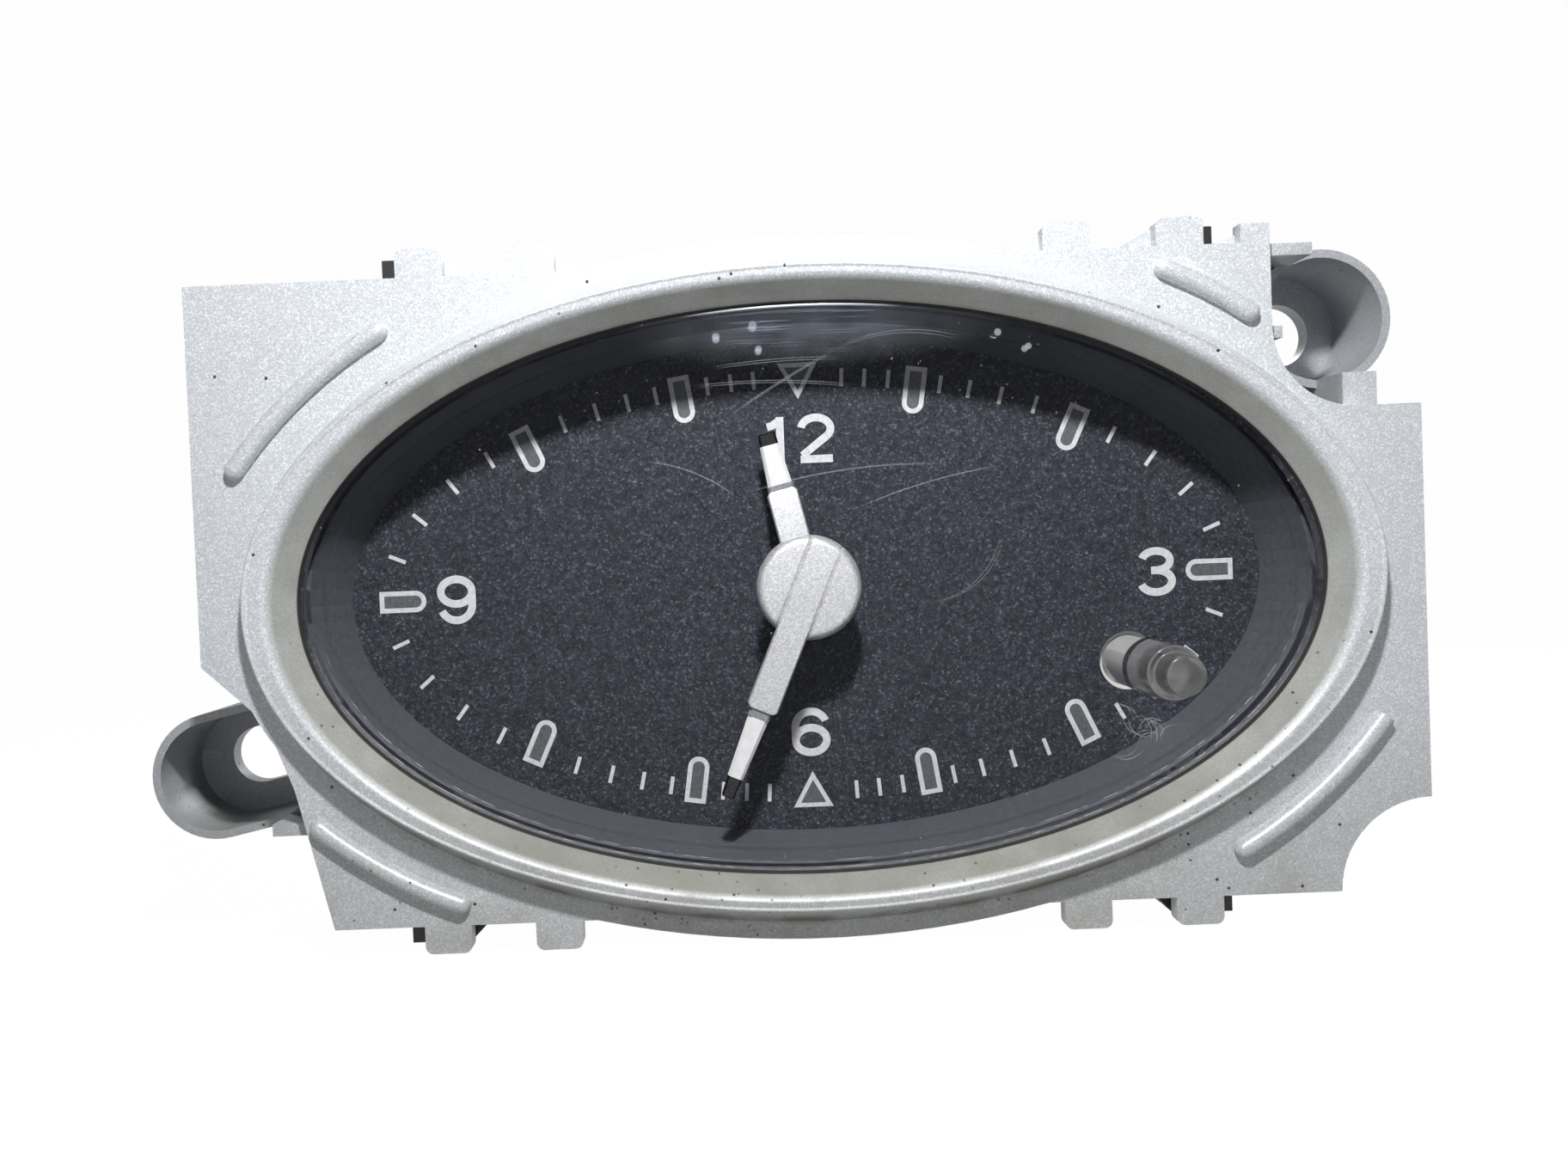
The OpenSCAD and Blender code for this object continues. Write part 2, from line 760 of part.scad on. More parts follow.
module snap_arm() {
  root = housing_front - arm_root;
  inner = case_half_h + arm_gap;
  difference() {
    union() {
      slab(root - arm_heel, arm_front) arm_plan(inner);
      slab(root - arm_heel, root) arm_plan(case_half_h - bite);
    }
    slab(catch_front - catch_l - arm_gap, catch_front + arm_gap)
      translate([-catch_w / 2 - arm_gap, inner - over]) square([catch_w + 2 * arm_gap, arm_t + 2 * over]);
  }
}

module board_corners() {
  for (x = [board_low[0] + boss_inset, board_high[0] - boss_inset],
       y = [board_low[1] + boss_inset, board_high[1] - boss_inset]) translate([x, y, 0]) children();
}

module at_bulbs() {
  for (s = [-1, 1]) translate([s * bulb_x, bulb_z, 0]) children();
}

module socket_plan(grow) {
  translate([pin_x, pin_z]) square([socket_w + 2 * grow, socket_h + 2 * grow], center = true);
}

// Copies along the row of plug pins
module along_pins() {
  for (i = [0 : pin_count - 1]) translate([pin_x + (i - (pin_count - 1) / 2) * pin_pitch, pin_z, 0])
    children();
}

module rear_housing() {
  color([0.09, 0.09, 0.1]) face_on() difference() {
    union() {
      slab(housing_back + back_step, housing_front) case_plan(0);
      slab(housing_back, housing_back + back_step + bite) case_plan(back_step);
      at_outer_tabs() snap_arm();
      slab(housing_back - socket_depth, housing_back + bite) socket_plan(socket_wall);
    }
    difference() {
      union() {
        slab(guide_back, housing_front + over) case_plan(housing_wall);
        slab(housing_floor, guide_back + over) case_plan(housing_wall + ledge_w);
      }
      board_corners() rod([0, 0], boss_r, housing_floor - bite, board_back);
    }
    board_corners() rod([0, 0], board_screw_r + fit_clear, board_front - board_screw_l - over,
      board_back + over);
    at_bulbs() {
      rod([0, 0], holder_r + run_clear, housing_back - over, housing_floor + over);
      slab(housing_back - over, housing_floor + over) rotate(-holder_twist)
        square([2 * (holder_r + holder_lug + drop_clear), holder_lug_w + 2 * drop_clear], center = true);
    }
    slab(housing_back - socket_depth - over, housing_back) socket_plan(0);
    along_pins() slab(housing_back - over, housing_floor + over)
      square(pin_w + 2 * fit_clear, center = true);
  }
}

// Circuit board and what is on it
module circuit_board() {
  color("darkgreen") face_on() slab(board_back, board_front) difference() {
    translate(board_low) square(board_high - board_low);
    board_corners() circle(board_screw_r + fit_clear);
    at_bulbs() circle(holder_r + drop_clear);
    along_pins() square(pin_w + 2 * fit_clear, center = true);
  }
}

module connector_pins() {
  color("gold") face_on() along_pins()
    slab(housing_back - socket_depth + pin_short, board_front) square(pin_w, center = true);
}

module clock_chip() {
  color([0.12, 0.12, 0.12]) face_on() translate([chip_at[0], chip_at[1], 0]) {
    slab(board_back - chip_lift - chip_t, board_back - chip_lift) square([chip_l, chip_w], center = true);
    for (s = [-1, 1], i = [0 : chip_legs - 1])
      translate([(i - (chip_legs - 1) / 2) * chip_leg_pitch, s * (chip_w / 2 + chip_leg_l / 2 - bite / 2), 0])
        slab(board_back - chip_lift - chip_t / 2, board_back)
          square([chip_leg_w, chip_leg_l + bite], center = true);
  }
}

module quartz_crystal() {
  color("silver") face_on() translate([crystal_at[0], crystal_at[1], board_back - crystal_r])
    rotate([0, 90, 0]) cylinder(h = crystal_l, r = crystal_r);
}

module capacitor() {
  color("navy") face_on() rod(capacitor_at, capacitor_r, board_back - capacitor_h, board_back);
}

module board_screws() {
  color("gray") face_on() board_corners() {
    rod([0, 0], board_screw_r, board_front - board_screw_l, board_front + bite);
    rod([0, 0], board_screw_head_r, board_front, board_front + board_screw_head_t);
  }
}

// Movement
module movement_plan() {
  translate((movement_low + movement_high) / 2)
    rounded(movement_high[0] - movement_low[0], movement_high[1] - movement_low[1], pillar_inset);
}

module at_pillars() {
  for (x = [movement_low[0] + pillar_inset, movement_high[0] - pillar_inset],
       y = [movement_low[1] + pillar_inset, movement_high[1] - pillar_inset]) translate([x, y, 0]) children();
}

module pivot_holes() {
  for (at = [motion_at, third_at, rotor_at]) translate(at) circle(pivot_r + run_clear);
}

module movement_front_plate() {
  color("ivory") face_on() difference() {
    union() {
      slab(movement_front_back, movement_front) difference() {
        movement_plan();
        pivot_holes();
      }
      rod([0, 0], dial_hole_r - drop_clear, movement_front_back, dial_front);
      at_pillars() rod([0, 0], pillar_r, movement_back_front, movement_front_back + bite);
    }
    rod([0, 0], pipe_r + run_clear, movement_front_back - over, dial_front + over);
    at_pillars() rod([0, 0], movement_screw_r + fit_clear, movement_back_front - over,
      movement_back_front + movement_screw_l + fit_clear);
  }
}

module movement_back_plate() {
  color("ivory") face_on() {
    slab(movement_back, movement_back_front) difference() {
      movement_plan();
      pivot_holes();
      circle(pivot_r + run_clear);
      at_pillars() circle(movement_screw_r + fit_clear);
    }
    for (s = [-1, 1]) rod([s * core_post_x, coil_y], core_post_r, movement_back_front - bite, stator_level);
    for (x = [movement_low[0] + pillar_inset, movement_high[0] - pillar_inset])
      rod([x, (movement_low[1] + movement_high[1]) / 2], pillar_r, board_front, movement_back + bite);
  }
}

module movement_screws() {
  color("gray") face_on() at_pillars() {
    rod([0, 0], movement_screw_r, movement_back - bite, movement_back_front + movement_screw_l);
    rod([0, 0], movement_screw_head_r, movement_back - movement_screw_head_t, movement_back);
  }
}

module stator() {
  leg_y = rotor_at[1] - stator_arm / 2;
  color("lightsteelblue") face_on() slab(stator_level, stator_level + stator_t) difference() {
    union() {
      translate(rotor_at) circle(magnet_r + stator_gap + stator_ring);
      translate([-core_half_l, leg_y]) square([core_half_l + rotor_at[0], stator_arm]);
      translate([-core_half_l, leg_y]) square([core_w, coil_y + core_w / 2 - leg_y]);
      translate([core_half_l - core_w, rotor_at[1]]) square([core_w, coil_y + core_w / 2 - rotor_at[1]]);
    }
    translate(rotor_at) circle(magnet_r + stator_gap);
    for (s = [-1, 1]) translate(rotor_at + s * (magnet_r + stator_gap) * [cos(rotor_dir), sin(rotor_dir)])
      circle(stator_notch);
  }
}

module coil_core() {
  color("lightsteelblue") face_on() slab(stator_level + stator_t, stator_level + 2 * stator_t)
    translate([-core_half_l, coil_y - core_w / 2]) square([2 * core_half_l, core_w]);
}

// Box around the coil core, from its clearance outwards
module coil_box(half_l, half_w, half_t) {
  translate([-half_l, coil_y - half_w, core_level - half_t]) cube(2 * [half_l, half_w, half_t]);
}

module coil_bobbin() {
  in_w = core_w / 2 + fit_clear;
  in_t = stator_t / 2 + fit_clear;
  color("ivory") face_on() difference() {
    union() {
      coil_box(coil_half_l, in_w + bobbin_wall, in_t + bobbin_wall);
      for (s = [-1, 1]) translate([s * (coil_half_l - bobbin_flange / 2), 0, 0])
        coil_box(bobbin_flange / 2, coil_half_w, coil_half_t);
    }
    coil_box(coil_half_l + over, in_w, in_t);
  }
}

module coil_winding() {
  color("peru") face_on() difference() {
    coil_box(coil_half_l - bobbin_flange - fit_clear, coil_half_w - bobbin_wall, coil_half_t - bobbin_wall / 2);
    coil_box(coil_half_l, core_w / 2 + bobbin_wall + 2 * fit_clear, stator_t / 2 + bobbin_wall + 2 * fit_clear);
  }
}

// Arbor with a pivot at each end, carried by both plates
module arbor(at) {
  rod(at, shank_r, movement_back_front + end_play, movement_front_back - end_play);
  rod(at, pivot_r, movement_back + end_play, movement_front - end_play);
}

module rotor() {
  color("dimgray") face_on() {
    arbor(rotor_at);
    rod(rotor_at, magnet_r, stator_level - magnet_over, stator_level + stator_t + magnet_over);
    toothed(rotor_at, rotor_teeth, wheel_share(rotor_teeth, third_teeth, rotor_distance), rotor_dir + 180,
      third_level - pinion_over, third_level + wheel_t + pinion_over);
  }
}

module intermediate_wheel() {
  color("white") face_on() {
    arbor(third_at);
    toothed(third_at, third_teeth, wheel_share(third_teeth, rotor_teeth, rotor_distance),
      rotor_dir + 180 / third_teeth, third_level, third_level + wheel_t);
    toothed(third_at, third_pinion_teeth, wheel_share(third_pinion_teeth, centre_teeth, train_distance),
      third_dir + 180, third_level + wheel_t - bite, centre_level + wheel_t + pinion_over);
  }
}

module centre_wheel() {
  color("gold") face_on() {
    rod([0, 0], arbor_r, centre_level, minute_top - minute_skin - fit_clear);
    rod([0, 0], pivot_r, movement_back + end_play, centre_level + bite);
    rod([0, 0], arbor_r, movement_back_front + end_play, centre_level + bite);
    toothed([0, 0], centre_teeth, wheel_share(centre_teeth, third_pinion_teeth, train_distance),
      third_dir + 180 / centre_teeth, centre_level, centre_level + wheel_t);
  }
}

module cannon_pinion() {
  color("gold") face_on() difference() {
    union() {
      toothed([0, 0], cannon_teeth, wheel_share(cannon_teeth, motion_teeth, train_distance), motion_dir,
        motion_level - pinion_over, motion_level + wheel_t);
      rod([0, 0], hub_r, motion_level - pinion_over, motion_level + wheel_t + pinion_over);
    }
    rod([0, 0], arbor_r + fit_clear, motion_level - over, motion_level + wheel_t + over);
  }
}

module motion_wheel() {
  color("white") face_on() {
    arbor(motion_at);
    toothed(motion_at, motion_teeth, wheel_share(motion_teeth, cannon_teeth, train_distance),
      motion_dir + 180 + 180 / motion_teeth, motion_level, motion_level + wheel_t);
    toothed(motion_at, motion_pinion_teeth, wheel_share(motion_pinion_teeth, hour_teeth, train_distance),
      motion_dir + 180, motion_level + wheel_t - bite, hour_level + wheel_t);
  }
}

module hour_wheel() {
  color("white") face_on() difference() {
    union() {
      toothed([0, 0], hour_teeth, wheel_share(hour_teeth, motion_pinion_teeth, train_distance),
        motion_dir + 180 / hour_teeth, hour_level, hour_level + wheel_t);
      rod([0, 0], pipe_r, hour_level, hour_top);
    }
    rod([0, 0], pipe_bore_r, hour_level - over, hour_top + over);
  }
}

// Hands: outlines point to twelve and are turned to the time shown
module hand_outline(bar_end, len, neck_w, tip_w) {
  polygon([
    [-hand_w / 2, 0], [-hand_w / 2, bar_end], [-neck_w / 2, bar_end + hand_step], [-tip_w / 2, len],
    [tip_w / 2, len], [neck_w / 2, bar_end + hand_step], [hand_w / 2, bar_end], [hand_w / 2, 0]
  ]);
}

module hour_hand() {
  color("silver") face_on() difference() {
    union() {
      slab(hour_back, hour_top) rotate(-hour_angle) hand_outline(hour_bar, hour_len, hour_neck_w, hour_tip_w);
      rod([0, 0], hour_collet_r, hour_back - hour_collet_len, hour_top);
    }
    rod([0, 0], pipe_r + fit_clear, hour_back - hour_collet_len - over, hour_top + over);
  }
}

module minute_hand() {
  color("silver") face_on() difference() {
    union() {
      slab(minute_back, minute_top) rotate(-minute_angle)
        hand_outline(minute_bar, minute_len, minute_neck_w, minute_tip_w);
      rod([0, 0], cap_r, minute_back, minute_top);
      translate([0, 0, minute_top - cap_dome_r + cap_dome]) intersection() {
        sphere(cap_dome_r);
        rod([0, 0], cap_r, cap_dome_r - cap_dome - bite, cap_dome_r);
      }
      rod([0, 0], minute_collet_r, minute_back - collet_len, minute_top);
    }
    rod([0, 0], arbor_r + fit_clear, minute_back - collet_len - over, minute_top - minute_skin);
    slab(minute_top - groove_depth, minute_top + over) rotate(-minute_angle) for (s = [-1, 1])
      translate([s * hand_w / 2, 0]) square([groove_w, 2 * cap_r + over], center = true);
  }
}

// Set button and its switch
module set_button() {
  collar_front = guide_back - collar_gap;
  color([0.85, 0.87, 0.88, 0.7]) face_on() {
    rod(button_at, button_tip_r, button_shoulder - bite, button_top);
    rod(button_at, button_r, collar_front - bite, button_shoulder);
    rod(button_at, button_collar_r, collar_front - button_collar_t, collar_front);
    rod(button_at, button_tail_r, button_tail, collar_front - button_collar_t + bite);
  }
}

module switch_body() {
  color([0.15, 0.15, 0.16]) face_on() difference() {
    slab(board_front, switch_front) translate(button_at) square(switch_w, center = true);
    rod(button_at, plunger_r + run_clear, plunger_back - button_travel - end_play, switch_front + over);
  }
}

module switch_plunger() {
  color("black") face_on() rod(button_at, plunger_r, plunger_back, plunger_front);
}

// Bulbs in twist-lock holders
module bulb_holder(side) {
  at = [side * bulb_x, bulb_z];
  grip_front = housing_back - holder_seal_gap;
  color([0.16, 0.16, 0.17]) face_on() difference() {
    union() {
      rod(at, holder_r, grip_front - bite, holder_top);
      rod(at, holder_grip_r, grip_front - holder_grip_t, grip_front);
      slab(housing_floor + holder_seal_gap, housing_floor + holder_seal_gap + holder_lug_t) translate(at)
        square([2 * (holder_r + holder_lug), holder_lug_w], center = true);
      slab(grip_front - holder_grip_t - holder_key_h, grip_front - holder_grip_t + bite) translate(at)
        square([2 * holder_r, holder_key_w], center = true);
    }
    rod(at, bulb_r - bulb_base_step + fit_clear, holder_top - bulb_base_l - fit_clear, holder_top + over);
  }
}

module bulb_holder_left() {
  bulb_holder(-1);
}

module bulb_holder_right() {
  bulb_holder(1);
}

module bulb(side) {
  at = [side * bulb_x, bulb_z];
  color([1, 0.95, 0.8, 0.6]) face_on() {
    rod(at, bulb_r - bulb_base_step, holder_top - bulb_base_l, holder_top + bite);
    rod(at, bulb_r, holder_top + fit_clear, bulb_top - bulb_r);
    translate([at[0], at[1], bulb_top - bulb_r]) sphere(bulb_r);
  }
}

module bulb_left() {
  bulb(-1);
}

module bulb_right() {
  bulb(1);
}

front_frame();
lens();
shroud();
dial();
light_guide();
rear_housing();
circuit_board();
connector_pins();
clock_chip();
quartz_crystal();
capacitor();
board_screws();
movement_front_plate();
movement_back_plate();
movement_screws();
stator();
coil_core();
coil_bobbin();
coil_winding();
rotor();
intermediate_wheel();
centre_wheel();
cannon_pinion();
motion_wheel();
hour_wheel();
hour_hand();
minute_hand();
set_button();
switch_body();
switch_plunger();
bulb_holder_left();
bulb_holder_right();
bulb_left();
bulb_right();
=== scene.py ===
import json
import math

import bmesh
import bpy
import numpy as np
from mathutils import Matrix, Vector

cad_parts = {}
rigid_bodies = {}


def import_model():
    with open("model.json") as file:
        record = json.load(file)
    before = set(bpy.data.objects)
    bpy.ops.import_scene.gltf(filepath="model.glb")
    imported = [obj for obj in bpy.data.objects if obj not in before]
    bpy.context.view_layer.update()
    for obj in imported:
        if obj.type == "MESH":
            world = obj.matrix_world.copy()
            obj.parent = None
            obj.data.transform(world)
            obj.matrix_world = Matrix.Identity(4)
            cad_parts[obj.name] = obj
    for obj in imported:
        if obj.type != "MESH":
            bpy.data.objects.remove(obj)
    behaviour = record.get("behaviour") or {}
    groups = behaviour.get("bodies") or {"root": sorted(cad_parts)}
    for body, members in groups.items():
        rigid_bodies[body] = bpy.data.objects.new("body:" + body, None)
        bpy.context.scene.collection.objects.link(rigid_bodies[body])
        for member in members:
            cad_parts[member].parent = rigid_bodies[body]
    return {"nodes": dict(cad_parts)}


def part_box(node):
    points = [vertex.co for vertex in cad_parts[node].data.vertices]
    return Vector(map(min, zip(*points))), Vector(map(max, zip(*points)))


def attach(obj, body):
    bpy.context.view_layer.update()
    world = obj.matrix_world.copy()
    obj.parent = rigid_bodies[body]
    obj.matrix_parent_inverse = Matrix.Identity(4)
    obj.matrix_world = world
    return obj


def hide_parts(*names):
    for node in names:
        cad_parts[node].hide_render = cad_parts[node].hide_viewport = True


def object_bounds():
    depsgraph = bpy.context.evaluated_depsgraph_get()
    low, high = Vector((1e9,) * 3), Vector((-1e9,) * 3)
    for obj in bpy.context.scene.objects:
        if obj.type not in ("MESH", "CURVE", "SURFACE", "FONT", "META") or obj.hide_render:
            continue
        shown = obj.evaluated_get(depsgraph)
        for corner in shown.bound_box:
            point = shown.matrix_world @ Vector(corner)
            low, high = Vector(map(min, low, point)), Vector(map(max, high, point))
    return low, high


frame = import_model()
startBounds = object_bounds()
mm = 0.001
print("frame loaded")


# Colours and shader nodes
def tone(*levels):
    # Display levels of 0 to 255, as the linear colour that a shader socket takes.
    share = np.array(levels) / 255
    linear = np.where(share <= 0.04045, share / 12.92, ((share + 0.055) / 1.055) ** 2.4)
    return (*linear.tolist(), 1.0)


def add(tree, kind, inputs=None, **settings):
    # One shader node, with each input either linked to a socket or set to a value.
    made = tree.nodes.new("ShaderNode" + kind)
    for key, value in settings.items():
        setattr(made, key, value)
    for key, value in (inputs or {}).items():
        if isinstance(value, bpy.types.NodeSocket):
            tree.links.new(value, made.inputs[key])
        else:
            made.inputs[key].default_value = value
    return made


def startMaterial(name, **surface):
    made = bpy.data.materials.new(name)
    made.use_nodes = True
    tree = made.node_tree
    shader = tree.nodes["Principled BSDF"]
    for key, value in surface.items():
        shader.inputs[key.replace("_", " ")].default_value = value
    place = add(tree, "TexCoord").outputs["Object"]
    return made, tree, shader, place


def ramp(tree, factor, stops):
    # Colour that runs through the stops, given as place and display levels.
    made = add(tree, "ValToRGB", {"Fac": factor})
    elements = made.color_ramp.elements
    while len(elements) < len(stops):
        elements.new(1.0)
    for element, (at, levels) in zip(elements, stops):
        element.position = at
        element.color = tone(*levels)
    return made.outputs["Color"]


def spread(tree, value, low, high, out=(0.0, 1.0)):
    # A value that runs from low to high, as a share that runs through the out range and stops at its ends.
    made = add(tree, "MapRange", {
        "Value": value, "From Min": low, "From Max": high, "To Min": out[0], "To Max": out[1],
    })
    return made.outputs["Result"]


def times(tree, first, second):
    return add(tree, "Math", {0: first, 1: second}, operation="MULTIPLY").outputs[0]


def larger(tree, first, second):
    return add(tree, "Math", {0: first, 1: second}, operation="MAXIMUM").outputs[0]


def most(tree, factors):
    total = factors[0]
    for factor in factors[1:]:
        total = larger(tree, total, factor)
    return total


def blendColour(tree, share, first, second):
    made = add(tree, "Mix", {0: share, 6: first, 7: second}, data_type="RGBA")
    return made.outputs[2]


def noise(tree, place, size, detail=2.0, rough=0.5):
    # Soft noise whose lumps are about the given size in millimetres.
    made = add(tree, "TexNoise", {
        "Vector": place, "Scale": 1 / (size * mm), "Detail": detail, "Roughness": rough,
    })
    return made.outputs["Fac"]


def grains(tree, place, size):
    # One random value per cell of about the given size, for flakes and grain.
    cells = add(tree, "TexVoronoi", {"Vector": place, "Scale": 1 / (size * mm)})
    return add(tree, "SeparateColor", {0: cells.outputs["Color"]}).outputs[0]


def spots(tree, place, pitch, radius, share):
    # Round specks of one radius, soft outside a core, one per cell of the pitch in a share of the cells.
    core = 0.6 * radius
    cells = add(tree, "TexVoronoi", {"Vector": place, "Scale": 1 / (pitch * mm)})
    chance = add(tree, "SeparateColor", {0: cells.outputs["Color"]}).outputs[1]
    kept = add(tree, "Math", {0: chance, 1: share}, operation="LESS_THAN").outputs[0]
    return times(tree, kept, spread(tree, cells.outputs["Distance"], radius / pitch, core / pitch))


def ovalPlace(tree, place, centre, reach):
    # Distance from a centre in X and Z as a share of the oval's reach: one on the oval.
    moved = add(tree, "Mapping", {
        "Vector": place, "Location": (centre[0] / -reach[0], 0, centre[1] / -reach[1]),
        "Scale": (1 / (reach[0] * mm), 0, 1 / (reach[1] * mm)),
    }).outputs[0]
    return add(tree, "VectorMath", {0: moved}, operation="LENGTH").outputs["Value"]


def bump(tree, shader, height, depth, strength):
    made = add(tree, "Bump", {"Height": height, "Distance": depth * mm, "Strength": strength})
    tree.links.new(made.outputs["Normal"], shader.inputs["Normal"])


# Painted silver: flakes; greyer behind the face, bare plastic and painted shade in the pockets; towards the
# bottom grime, a darker line along the ring's foot, and specks.
# Noise is given as size, detail and roughness, specks as pitch and radius, an edge as its two ends.
silverLook = {
    "flakeSize": 0.13, "flakes": [(0.0, (192, 196, 201)), (0.7, (213, 217, 222)), (1.0, (241, 244, 248))],
    "metal": 0.16, "rough": (0.36, 0.5), "flakeDepth": 0.02, "flakeBump": 0.2,
    "bareAndShade": (124, 126, 129), "bareFrom": 0.3, "bareFull": 3.0, "bareShare": 0.5,
    "grime": (132, 129, 110), "grimeTop": -12, "grimeFull": -34, "film": 0.3, "grimeShare": 0.62,
    "patch": (9.0, 6.0, 0.65), "patchEdge": (0.47, 0.72), "dirtRough": 0.9,
    "foot": (56.8, 33.0), "footEdge": (1.028, 1.002), "footInner": (0.975, 1.0), "footTone": (104, 99, 82),
    "footCloud": (4.0, 5.0), "footCloudEdge": (0.4, 0.6), "footShare": (0.25, 0.9),
    "speck": (46, 43, 38), "speckShare": 0.3, "speckLarge": (2.5, 0.21),
    "speckSmall": (1.4, 0.19), "smallMore": 3, "smallEdge": (0, 0.5), "smallShare": (0.15, 1.0),
    "cluster": (11.0, 4.0), "clusterEdge": (0.42, 0.58), "clusterShare": (0.1, 1.0),
    "crumb": (0.75, 0.2), "crumbEdge": (1.065, 1.02),
}
# The bezel's paint adds a darker inner slope, dust and painted shade, and a painted shadow in the gap at the
# lens.
bezelPaint = {
    **silverLook, "film": 0.4, "grime": (116, 113, 99), "grimeTop": 0, "grimeFull": -28,
    "speckShare": 0.45, "flakeBump": 0.1,
    "gap": (51.45, 28.63), "gapShadowEdge": (1.0012, 0.9995), "gapShadowTone": (44, 43, 40),
    "slope": (54.15, 30.7), "slopeEdge": (1.0, 0.986), "slopeDustAndShade": (146, 147, 141),
    "slopeCloud": (5.0, 5.0, 0.6), "slopeCloudEdge": (0.35, 0.65), "slopeShare": (0.74, 0.88),
}
handLook = {
    **silverLook, "flakes": [(0.0, (196, 197, 198)), (0.6, (214, 215, 216)), (1.0, (240, 240, 240))],
    "metal": 0.55, "speckShare": 0.0, "grimeShare": 0.0, "film": 0.0, "bareShare": 0.0, "flakeBump": 0.12,
}


def silverSpecks(tree, place, look, depth, footOval):
    # Small specks in clusters, a few large ones, and crumbs along the foot of the ring.
    share = look["speckShare"]
    cluster = spread(tree, noise(tree, place, *look["cluster"]), *look["clusterEdge"], look["clusterShare"])
    lower = spread(tree, depth, *look["smallEdge"], look["smallShare"])
    small = spots(tree, place, *look["speckSmall"], share * look["smallMore"])
    small = times(tree, small, times(tree, cluster, lower))
    large = spots(tree, place, *look["speckLarge"], share)
    along = spread(tree, footOval, *look["crumbEdge"])
    along = times(tree, along, spread(tree, footOval, *look["footInner"]))
    crumbs = spots(tree, place, *look["crumb"], share)
    crumbs = times(tree, crumbs, times(tree, along, times(tree, cluster, depth)))
    return most(tree, [small, large, crumbs])


def silverPaint(name, look):
    made, tree, shader, place = startMaterial(name, Metallic=look["metal"])
    flake = grains(tree, place, look["flakeSize"])
    colour = ramp(tree, flake, look["flakes"])
    axes = add(tree, "SeparateXYZ", {0: place}).outputs
    # Greyer behind the face: bare plastic where the spray did not reach, and painted shade that darkens the
    # pockets.
    bareEnds = (look["bareFrom"] * mm, look["bareFull"] * mm)
    behind = spread(tree, axes["Y"], *bareEnds, (0.0, look["bareShare"]))
    colour = blendColour(tree, behind, colour, tone(*look["bareAndShade"]))  # the spray came from the front
    depth = spread(tree, axes["Z"], look["grimeTop"] * mm, look["grimeFull"] * mm)
    patch = noise(tree, place, *look["patch"])
    patch = spread(tree, patch, *look["patchEdge"], (look["film"], look["grimeShare"]))
    dirt = times(tree, depth, patch)
    colour = blendColour(tree, dirt, colour, tone(*look["grime"]))
    # The inner slope is painted darker in clouds: dust and painted shade.
    if "slope" in look:
        cloud = noise(tree, place, *look["slopeCloud"])
        cloud = spread(tree, cloud, *look["slopeCloudEdge"], look["slopeShare"])
        onSlope = spread(tree, ovalPlace(tree, place, (0, 0), look["slope"]), *look["slopeEdge"])
        dust = times(tree, cloud, onSlope)
        dustAndShadeTone = blendColour(tree, dirt, tone(*look["slopeDustAndShade"]), tone(*look["grime"]))
        colour = blendColour(tree, dust, colour, dustAndShadeTone)
        dirt = larger(tree, dirt, dust)
    # A darker line on the plate along the foot of the ring, towards the bottom.
    footOval = ovalPlace(tree, place, (0, 0), look["foot"])
    foot = spread(tree, footOval, *look["footEdge"])
    foot = times(tree, foot, spread(tree, footOval, *look["footInner"]))
    footCloud = noise(tree, place, *look["footCloud"])
    footCloud = spread(tree, footCloud, *look["footCloudEdge"], look["footShare"])
    foot = times(tree, times(tree, foot, depth), footCloud)
    colour = blendColour(tree, foot, colour, tone(*look["footTone"]))
    # Painted shadow: a near-black band on the bezel's lip at the lens, where the gap lies in shade.
    if "gap" in look:
        gap = spread(tree, ovalPlace(tree, place, (0, 0), look["gap"]), *look["gapShadowEdge"])
        colour = blendColour(tree, gap, colour, tone(*look["gapShadowTone"]))
    specks = silverSpecks(tree, place, look, depth, footOval)
    colour = blendColour(tree, specks, colour, tone(*look["speck"]))
    tree.links.new(colour, shader.inputs["Base Color"])
    smooth = spread(tree, flake, 0, 1, look["rough"])
    rough = larger(tree, smooth, times(tree, dirt, look["dirtRough"]))
    tree.links.new(rough, shader.inputs["Roughness"])
    bump(tree, shader, flake, look["flakeDepth"], look["flakeBump"])
    return made


# Charcoal dial: fine grain with a few bright flakes
dialLook = {
    "grainSize": 0.2,
    "grain": [(0.0, (54, 55, 60)), (0.5, (65, 67, 74)), (0.85, (76, 79, 88)), (1.0, (112, 115, 125))],
    "soft": (0.7, 2.0), "shade": [(0.3, (200, 200, 205)), (0.7, (255, 255, 255))],
    "rough": (0.4, 0.5), "roughEdge": (0.3, 0.7), "specular": 0.12, "bump": (0.02, 0.3),
}


def dialPaint(name, look):
    made, tree, shader, place = startMaterial(name, Specular_IOR_Level=look["specular"])
    grain = ramp(tree, grains(tree, place, look["grainSize"]), look["grain"])
    soft = noise(tree, place, *look["soft"])
    shade = ramp(tree, soft, look["shade"])
    mixed = add(tree, "Mix", {0: 1.0, 6: grain, 7: shade}, data_type="RGBA", blend_type="MULTIPLY")
    tree.links.new(mixed.outputs[2], shader.inputs["Base Color"])
    tree.links.new(spread(tree, soft, *look["roughEdge"], look["rough"]), shader.inputs["Roughness"])
    bump(tree, shader, soft, *look["bump"])
    return made
